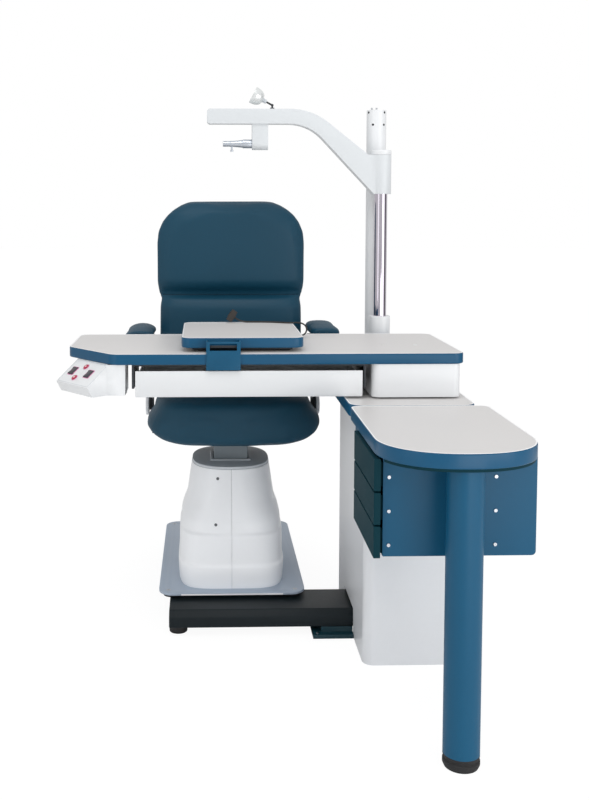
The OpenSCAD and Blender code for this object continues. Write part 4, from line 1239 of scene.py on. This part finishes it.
@dataclass
class Pedestal:
    """Shroud, cap, plate and beams under the chair.

    Attributes:
        middle: Middle of the shroud.
        foot: Height of the shroud's foot.
        height: Height of the shroud.
        top: Width and depth at the top.
        base: Width and depth at the foot.
        wall: Wall thickness.
        split: Half the gap between the two shells.
        power: Power of the squarest outline, and how far it falls for the roundest.
        rows: Steps up the shroud.
        arcs: Steps round one shell.
        screw_at: Height share and distance from the middle of each screw.
        strip_in: Distance of the plate's strip from the plate's ends.
        strip: Distance outwards of the strip's profile, and its height on the plate.
    """

    middle: Flat = (-0.089048, 0.304)
    foot: float = 0.093
    height: float = 0.359
    top: Flat = (0.248, 0.294)
    base: Flat = (0.330, 0.400)
    wall: float = 0.004
    split: float = 0.0004
    power: Flat = (4.6, 2.1)
    rows: int = 120
    arcs: int = 90
    screw_at: tuple[Flat, ...] = ((0.925, -0.043), (0.545, -0.049))
    strip_in: float = 0.055
    strip: tuple[Flat, ...] = (
        (-0.0002, 0.0006), (0.0005, 0.0006), (0.0008, 0.0012), (0.0008, 0.0044),
        (0.0005, 0.0050), (-0.0002, 0.0050),
    )

    def section(self, share: float) -> tuple[float, float, float]:
        """Blends the shroud's sections.

        Args:
            share: Height as a share of the shroud's height.

        Returns:
            Half width, half depth and the power of the section's outline.
        """
        table = SHROUD_SECTIONS
        i = max(k for k in range(len(table) - 1) if table[k][0] <= share + 1e-9)
        (t0, *a), (t1, *b) = table[i], table[i + 1]
        f = (share - t0) / (t1 - t0)
        before = table[max(i - 1, 0)]
        after = table[min(i + 2, len(table) - 1)]
        out = []
        for k in range(3):
            m0 = (b[k] - before[k + 1]) / max(t1 - before[0], 1e-6) * (t1 - t0)
            m1 = (after[k + 1] - a[k]) / max(after[0] - t0, 1e-6) * (t1 - t0)
            limit = 3 * abs(b[k] - a[k])
            m0, m1 = (clamp(m, -limit, limit) for m in (m0, m1))
            out.append(
                (2 * f**3 - 3 * f**2 + 1) * a[k] + (f**3 - 2 * f**2 + f) * m0
                + (3 * f**2 - 2 * f**3) * b[k] + (f**3 - f**2) * m1
            )
        width = self.top[0] + (self.base[0] - self.top[0]) * out[0]
        depth = self.top[1] + (self.base[1] - self.top[1]) * out[1]
        return width / 2, depth / 2, self.power[0] - self.power[1] * out[2]

    def spot(self, share: float, angle: float, shrink: float = 0.0) -> Point:
        """Returns the point of the shroud at a height share and an angle in degrees."""
        hw, hd, power = self.section(share)
        c, s = math.cos(math.radians(angle)), math.sin(math.radians(angle))
        x = (hw - shrink) * math.copysign(abs(c) ** (2 / power), c)
        y = (hd - shrink) * math.copysign(abs(s) ** (2 / power), s)
        return (self.middle[0] + x, self.middle[1] + y, self.foot + self.height * share)

    def half(self, side: int) -> bpy.types.Mesh:
        """Builds one shell with its wall.

        Args:
            side: 1 for the right half and -1 for the left.

        Returns:
            The mesh.
        """
        rows = []
        angles = [-90 + 180 * k / self.arcs for k in range(self.arcs + 1)]
        for j in range(self.rows + 1):
            share = j / self.rows
            outer = [self.spot(share, a) for a in angles]
            inner = [self.spot(share, a, self.wall) for a in reversed(angles)]
            row = []
            for x, y, z in outer + inner:
                across = max(abs(x - self.middle[0]), self.split)
                row.append((self.middle[0] + side * across, y, z))
            rows.append(row)
        return grid(f"shroud_{side}", rows, caps=True)

    def screws(self) -> None:
        """Sets the two small recessed screws into the left shell's front; their dark grey is partly
        their own and partly painted shade of the recesses.
        """
        for k, (share, across) in enumerate(self.screw_at):
            angle = min(
                (-90 - 0.25 * i for i in range(200)),
                key=lambda a: abs(self.spot(share, a)[0] - self.middle[0] - across),
            )
            at = Vector(self.spot(share, angle))
            near = Vector(self.spot(share, angle + 1)) - at
            up = Vector(self.spot(share + 0.01, angle)) - at
            out = up.cross(near).normalized() * -1
            if out.y > 0:
                out = -out
            profile = [(0, 0.0004), (0.0016, 0.0004), (0.0018, 0.0009), (0.0036, 0.0011),
                       (0.0046, 0.0006), (0.0048, -0.001), (0, -0.001)]
            mesh = turned(f"shroud_screw_{k}", profile, tuple(at), tuple(out), 24)
            piece(f"shroud_screw_{k}", mesh, SCREW_GREY_AND_SHADE, "base")

    def edge_strip(self) -> None:
        """Lays the pale strip on the base plate's front edge, a painted highlight of that edge."""
        lo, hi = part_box("base_plate")
        x0, x1, count = lo.x + self.strip_in, hi.x - self.strip_in, 24
        line = [Vector((x0 + (x1 - x0) * k / count, lo.y, 0)) for k in range(count + 1)]
        profile = [(out, lo.z + up) for out, up in self.strip]
        mesh = swept("plate_strip", line, profile, closed=False)
        piece("plate_strip", mesh, LIP_HIGHLIGHT, "base")

    def build(self) -> None:
        """Makes the shroud and dresses the base."""
        for side, sign in (("right", 1), ("left", -1)):
            piece(f"shroud_{side}_shell", self.half(sign), SHELL, "base", [f"shroud_{side}"])
        self.screws()
        softened("shroud_cap", CAP_GREY, "base", 0.002)
        softened("base_plate", PLATE, "base", 0.0015)
        self.edge_strip()
        softened("base_beams", BEAM, "base", 0.003)
        softened("joint_plate", JOINT, "base", 0.001)
        softened("rubber_feet", RUBBER, "base", 0.003)
        dress(STEEL, "frame_screws", "lift_guide")
        dress(DARK, "actuator_body")


@dataclass
class EdgedTop:
    """A laminate top with a moulded band, and round its edge a thin lip painted near white as the
    edge's highlight.

    Attributes:
        name: Name of the top.
        surface: Solid of the laminate.
        edge: Solid of the band.
        body: The body that carries it.
        line: Its outline.
        low: Height of its underside.
        high: Height of its upper face.
        band: Thickness of the band.
        finish: Look of the band.
        roll: Radius of the band's edges.
        lip: Distance outwards of the lip's profile, and its height on the top.
    """

    name: str
    surface: str
    edge: str
    body: str
    line: list[Vector]
    low: float
    high: float
    band: float = 0.003
    finish: Finish = BAND
    roll: float = 0.0034
    lip: tuple[Flat, ...] = (
        (-0.0048, 0), (-0.0012, 0), (-0.0014, 0.0003), (-0.0020, 0.0006), (-0.0040, 0.0006),
    )

    def build(self) -> None:
        """Makes the band and the lip, and dresses the laminate."""
        r = self.roll
        arc = [math.radians(15 * k) for k in range(7)]
        profile = [(-self.band, self.low)]
        profile += [(-r + r * math.sin(a), self.low + r - r * math.cos(a)) for a in arc]
        profile += [(-r + r * math.cos(a), self.high - r + r * math.sin(a)) for a in arc]
        profile += [(-self.band, self.high)]
        name = f"{self.name}_moulding"
        piece(name, swept(name, self.line, profile), self.finish, self.body, [self.edge])
        name, lip = f"{self.name}_lip", [(out, self.high + up) for out, up in self.lip]
        piece(name, swept(name, self.line, lip), LIP_HIGHLIGHT, self.body)
        dress(LAMINATE, self.surface)


@dataclass
class Cabinet:
    """Cabinet, worktop, leg and drawers.

    half, back, join, nose and top_at are in millimetres from the table's swing axis.

    Attributes:
        half: Half the worktop's width.
        back: The worktop's rear edge.
        join: Where its round front starts.
        nose: Depth of its round front.
        corner: Radius of its rear corners.
        nose_power: Power of the round front's outline.
        arcs: Steps round that front.
        rim_front: The rim lies before this place.
        rim_profile: Distance outwards and height of the rim's profile.
        top_at: Left, front, right and back of the cabinet's top.
        top_radii: Radii of its corners.
    """

    half: float = 188.5
    back: float = -260.0
    join: float = -638.0
    nose: float = 165.0
    corner: float = 0.024
    nose_power: float = 2.2
    arcs: int = 60
    rim_front: float = -0.675
    rim_profile: tuple[Flat, ...] = (
        (-0.0095, 0.6882), (-0.0042, 0.6882), (-0.0036, 0.6890), (-0.0036, 0.6950),
        (-0.0095, 0.6950),
    )
    top_at: tuple[float, float, float, float] = (-186.0, -256, 162, 498)
    top_radii: tuple[float, ...] = (0.040, 0.040, 0.012, 0.012)

    def worktop_line(self) -> list[Vector]:
        """Returns the worktop's outline with its round front."""
        w, join, sharp, steps = self.half, self.join, 0.0001, 10
        ends = [(w, join), (w, self.back), (-w, self.back), (-w, join)]
        radii = [sharp, self.corner, self.corner, sharp]
        corners = outline(moved(ends), radii, steps)[steps + 1:3 * (steps + 1)]
        front = []
        for k in range(self.arcs + 1):
            a = math.pi + math.pi * k / self.arcs
            c, s = math.cos(a), math.sin(a)
            x = w * math.copysign(abs(c) ** (2 / self.nose_power), c)
            y = join - self.nose * abs(s) ** (2 / self.nose_power)
            front.append(Vector(moved([(x, y)])[0]))
        return corners + front

    def rim(self, line: Sequence[Vector]) -> None:
        """Adds a dark teal strip under the worktop's round front.

        Args:
            line: The worktop's outline.
        """
        front = sorted((p for p in line if p.y < self.rim_front), key=lambda p: p.x)
        mesh = swept("worktop_rim", front, self.rim_profile, closed=False)
        piece("worktop_rim", mesh, TEAL_DARK, "base")

    def build(self) -> None:
        """Makes the tops, the drawers and the leg."""
        line, heights = self.worktop_line(), (DESK_LOW, DESK_HIGH)
        EdgedTop("worktop", "worktop", "worktop_band", "base", line, *heights).build()
        self.rim(line)
        line = outline(moved(rectangle(*self.top_at)), self.top_radii)
        EdgedTop("cabinet", "cabinet_top", "cabinet_band", "base", line, *heights).build()
        dress(CABINET, "cabinet_body", "rear_housing")
        softened("drawer_housing", TEAL, "base", 0.0012)
        for name in ("top", "middle", "bottom"):
            softened(f"drawer_{name}", TEAL_DARK, f"{name}_drawer", 0.002)
        dress(TEAL, "leg_tube")
        dress(RUBBER, "leg_foot")
        dress(STEEL, "swing_post")


@dataclass
class SwingTable:
    """Swing table with its white box, lens drawer and control box.

    Attributes:
        hinge: Place of the console's corner.
        turn: Direction of the console's long side, in degrees.
        slope: Tilt of its panel, in degrees.
        length: Length of the console.
        panel: Length of the panel down its slope.
        inner: Distance of the panel's upper edge from the console's corner.
        line_half: Half length and half width of the panel's line.
        rocker_half: Half width and half length of a rocker's opening.
        rim: Distance outwards and height of a rim's profile.
        ring: Radius and height of the profile of a button's rim.
        eye: The same of the eye on a button.
        rockers: Place of each rocker on the panel, as shares of its sides.
        buttons: The same of each button.
        corners: Corners of the top in millimetres from the swing axis.
        radii: Their radii.
        plugs: Side, place, radius and look of each plug in the top.
    """

    hinge: Point = (-0.446048, -0.141, TABLE_LOW)
    turn: float = 129.6727
    slope: float = 37.606
    length: float = 0.160
    panel: float = 0.09341
    inner: float = 0.010
    line_half: Flat = (0.0762, 0.0430)
    rocker_half: Flat = (0.0124, 0.0144)
    rim: tuple[Flat, ...] = (
        (0.0002, 0.0001), (0.0018, 0.0001), (0.0016, 0.0010), (0.0006, 0.0013), (0.0002, 0.0010),
    )
    ring: tuple[Flat, ...] = (
        (0.0084, 0.0001), (0.0102, 0.0001), (0.0099, 0.0012), (0.0088, 0.0014), (0.0084, 0.0010),
        (0.0084, 0.0001),
    )
    eye: tuple[Flat, ...] = ((0, 0.0035), (0.0030, 0.0035), (0.0028, 0.0038), (0, 0.0039))
    rockers: tuple[tuple[str, Flat], ...] = (("left", (0.80, 0.50)), ("right", (0.30, 0.50)))
    buttons: tuple[tuple[str, Flat], ...] = (("upper", (0.545, 0.26)), ("lower", (0.585, 0.74)))
    corners: tuple[Flat, ...] = ((-839, -165), (151, -165), (151, 293), (-980, 293), (-980, 5))
    radii: tuple[float, ...] = (0.045, 0.032, 0.032, 0.032, 0.045)
    plugs: tuple[tuple[str, float, float, float, Finish], ...] = (
        ("left", 0.3601, 0.0568, 0.0032, SCREW_GREY_AND_SHADE), ("right", 0.4544, 0.0320, 0.0062, WHITE),
    )

    def on_panel(self, along: float, down: float) -> Matrix:
        """Returns the frame at a place of the sloping panel, in shares of its sides."""
        place = Matrix.Translation(self.hinge) @ Matrix.Rotation(math.radians(self.turn), 4, "Z")
        place = place @ Matrix.Translation((self.length * along, -self.inner, 0))
        place = place @ Matrix.Rotation(math.radians(-self.slope), 4, "X")
        return place @ Matrix.Translation((0, self.panel * down, 0))

    def bezel(
        self, name: str, place: Matrix, half: Flat, finish: Finish, bold: float = 1.0
    ) -> None:
        """Lays a thin rim round a switch or the panel.

        Args:
            name: Name of the rim.
            place: Middle of the switch.
            half: Half of its opening's width and length.
            finish: Look of the rim.
            bold: Share of its usual width and height.
        """
        w, l = half
        line = outline(rectangle(-w, -l, w, l), [0.0012] * 4, 4)
        mesh = swept(name, line, [(o * bold, z * bold) for o, z in self.rim])
        mesh.transform(place)
        piece(name, mesh, finish, "table")

    def disc(
        self, name: str, profile: Sequence[Flat], count: int, place: Matrix, finish: Finish,
        body: str,
    ) -> None:
        """Sets a turned piece on the panel.

        Args:
            name: Its name.
            profile: Radius and height of its profile.
            count: Points round it.
            place: Its place.
            finish: Its look.
            body: The body that carries it.
        """
        mesh = turned(name, profile, (0, 0, 0), count=count)
        mesh.transform(place)
        piece(name, mesh, finish, body)

    def switches(self) -> None:
        """Rounds the switches and buttons, and adds their rims and eyes and the panel's line."""
        self.bezel("panel_line", self.on_panel(0.5, 0.5), self.line_half, CAP_GREY, 0.5)
        for side, share in self.rockers:
            softened(f"rocker_{side}", SWITCH, f"{side}_rocker", 0.0012)
            self.bezel(f"{side}_rocker_rim", self.on_panel(*share), self.rocker_half, BEZEL)
        for side, share in self.buttons:
            body, place = f"{side}_button", self.on_panel(*share)
            softened(f"button_{side}", BUTTON, body, 0.0012)
            self.disc(f"{body}_rim", self.ring, 40, place, BEZEL, "table")
            self.disc(f"{body}_eye", self.eye, 24, place, BUTTON_EYE, body)

    def build(self) -> None:
        """Makes the table's edge and dresses what hangs under it."""
        line = outline(moved(self.corners), self.radii)
        EdgedTop(
            "table", "table_top", "table_band", "table", line, TABLE_LOW, TABLE_HIGH
        ).build()
        softened("pivot_box", WHITE, "table", 0.0014)
        softened("control_box", WHITE, "table", 0.0014)
        softened("lens_drawer", WHITE, "lens_drawer", 0.0012)
        softened("table_frame", DARK, "table", 0.001)
        dress(STEEL, "swing_bearing")
        for side, x, y, r, finish in self.plugs:
            profile = [(0, 0), (r, 0), (r, 0.0004), (r * 0.86, 0.0008), (r * 0.7, 0.0006),
                       (0, 0.0004)]
            name = f"table_{side}_plug"
            piece(name, turned(name, profile, (x, y, TABLE_HIGH)), finish, "table")
        self.switches()


@dataclass
class Tray:
    """Sliding tray with its bracket and latch.

    Attributes:
        left: Its left side, in millimetres from the table's swing axis.
        front: Its front, measured like left.
        width: Its width in millimetres.
        depth: Its depth in millimetres.
        corner: Radius of its corners.
        low: Height of its underside.
        high: Height of its upper face.
    """

    left: float = -647.0
    front: float = -128.0
    width: float = 348.0
    depth: float = 400.0
    corner: float = 0.030
    low: float = 0.871
    high: float = 0.900

    def build(self) -> None:
        """Makes the tray's edge and rounds its bracket, latch bar and carriage."""
        right, back = self.left + self.width, self.front + self.depth
        line = outline(moved(rectangle(self.left, self.front, right, back)), [self.corner] * 4)
        EdgedTop("tray", "tray_top", "tray_band", "tray", line, self.low, self.high).build()
        softened("tray_bracket", TEAL, "tray", 0.0012)
        softened("latch_bar", DARK, "latch", 0.0010)
        softened("tray_carriage", DARK, "tray", 0.001)


@dataclass
class Columns:
    """Pole, chrome column, refractor arm, pin and lamp.

    A profile is the radius and the place along the axis of each of its points.

    Attributes:
        head_at: Middle of the lamp's head.
        lean: Lean of the lamp's head to the left, in degrees.
        behind: Distance of the dish's start behind that middle.
        dish_foot: Radius of the dish at its start.
        dish_grow: How much that radius grows.
        dish_long: Length of the dish.
        dish_curve: How early it has its full radius; 1 is at its end.
        dish_rim: Profile of its rim.
        dish_floor: Profile of its inner floor.
        dish_wall: Thickness of its wall.
        dish_steps: Steps along it.
        pane: Profile of the lamp's glass.
        capsule: Profile of its bulb.
        socket: Profile of its socket.
        plug: Profile of a dark disc in a hole of the pole, a painted shade of the hole.
        plug_at: Direction in degrees of each disc, and its distance below the pole's top.
    """

    head_at: Point = (0.003952, 0.379, 1.626)
    lean: float = 62.0
    behind: float = 0.017
    dish_foot: float = 0.0085
    dish_grow: float = 0.0195
    dish_long: float = 0.036
    dish_curve: float = 1.12
    dish_rim: tuple[Flat, ...] = ((0.0277, 0.0364), (0.0266, 0.0366))
    dish_floor: tuple[Flat, ...] = ((0.006, 0.006), (0, 0.006))
    dish_wall: float = 0.0018
    dish_steps: int = 14
    pane: tuple[Flat, ...] = (
        (0, 0.0342), (0.0245, 0.0342), (0.0254, 0.0348), (0.0245, 0.0356), (0, 0.0362),
    )
    capsule: tuple[Flat, ...] = (
        (0, 0.006), (0.0045, 0.006), (0.0048, 0.018), (0.0040, 0.023), (0.0020, 0.026), (0, 0.0268),
    )
    socket: tuple[Flat, ...] = (
        (0, -0.014), (0.0052, -0.014), (0.0060, -0.0132), (0.0070, -0.010), (0.0070, -0.0075),
        (0.0062, -0.0070), (0.0062, -0.0055), (0.0070, -0.0050), (0.0070, -0.0022),
        (0.0078, -0.0016), (0.0078, 0.0), (0, 0.0),
    )
    plug: tuple[Flat, ...] = (
        (0, -0.0015), (0.0034, -0.0015), (0.0038, 0.0004), (0.0034, 0.0008), (0.0026, 0.0006),
        (0.0022, 0.0001), (0, 0.0),
    )
    plug_at: tuple[Flat, ...] = ((-61, 0.008), (44, 0.008), (-30, 0.049), (39, 0.049))

    def dish(self, step: int, wall: float = 0.0) -> Flat:
        """Returns radius and place of the lamp's dish at a step, inside a wall."""
        t = step / self.dish_steps
        round_off = math.sqrt(max(0.0, 1 - (1 - self.dish_curve * t) ** 2))
        return (self.dish_foot + self.dish_grow * round_off - wall, self.dish_long * t)

    def lamp(self) -> None:
        """Makes the reflector lamp: faceted dish, glass, capsule and socket."""
        axis = Vector((-math.sin(math.radians(self.lean)), 0, math.cos(math.radians(self.lean))))
        start = Vector(self.head_at) - axis * self.behind
        outer = [self.dish(k) for k in range(self.dish_steps + 1)]
        inner = [self.dish(k, self.dish_wall) for k in range(self.dish_steps, 1, -1)]
        shade = [(0, 0), *outer, *self.dish_rim, *inner, *self.dish_floor]
        for name, profile, count, finish in (
            ("lamp_dish", shade, 28, REFLECTOR), ("lamp_pane", self.pane, 48, GLASS),
            ("lamp_capsule", self.capsule, 24, BULB), ("lamp_socket", self.socket, 48, CAP_GREY),
        ):
            mesh = turned(name, profile, tuple(start), tuple(axis), count)
            faceted = finish is REFLECTOR
            if faceted:
                smooth(mesh, 9)
            piece(name, mesh, finish, "lamp", ["lamp_head"] if faceted else ())

    def hole_shade_discs(self) -> None:
        """Sets dark discs into the four holes of the white pole, as painted shade inside the holes.
        """
        lo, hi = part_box("white_pole")
        middle, r = (lo + hi) / 2, (hi.x - lo.x) / 2
        for k, (angle, drop) in enumerate(self.plug_at):
            out = Vector((math.sin(math.radians(angle)), -math.cos(math.radians(angle)), 0))
            at = Vector((middle.x, middle.y, hi.z - drop)) + out * r
            mesh = turned(f"pole_plug_{k}", self.plug, tuple(at), tuple(out), 24)
            piece(f"pole_plug_{k}", mesh, RUBBER, "base")

    def build(self) -> None:
        """Makes the lamp and dresses the poles and the arm."""
        self.lamp()
        self.hole_shade_discs()
        softened("refractor_arm", ARM, "arm", 0.005, 4)
        softened("refractor_pin", PIN, "pin", 0.0012)
        softened("top_ring", WHITE, "column", 0.002)
        softened("column_collar", WHITE, "base", 0.002)
        dress(WHITE, "white_pole")
        dress(STEEL, "pole_studs")
        dress(CHROME, "chrome_column")
        dress(DARK, "lamp_neck")


def main() -> None:
    """Builds the scene in order."""
    logging.basicConfig(level=logging.INFO, format="%(name)s: %(message)s")
    stage = Stage()
    stage.camera()
    TrayCable().build()
    for group in (Chair(), Pedestal(), Cabinet(), SwingTable(), Tray(), Columns()):
        group.build()
        LOG.info("%s is built", type(group).__name__)
    stage.light()


if __name__ == "__main__":
    main()
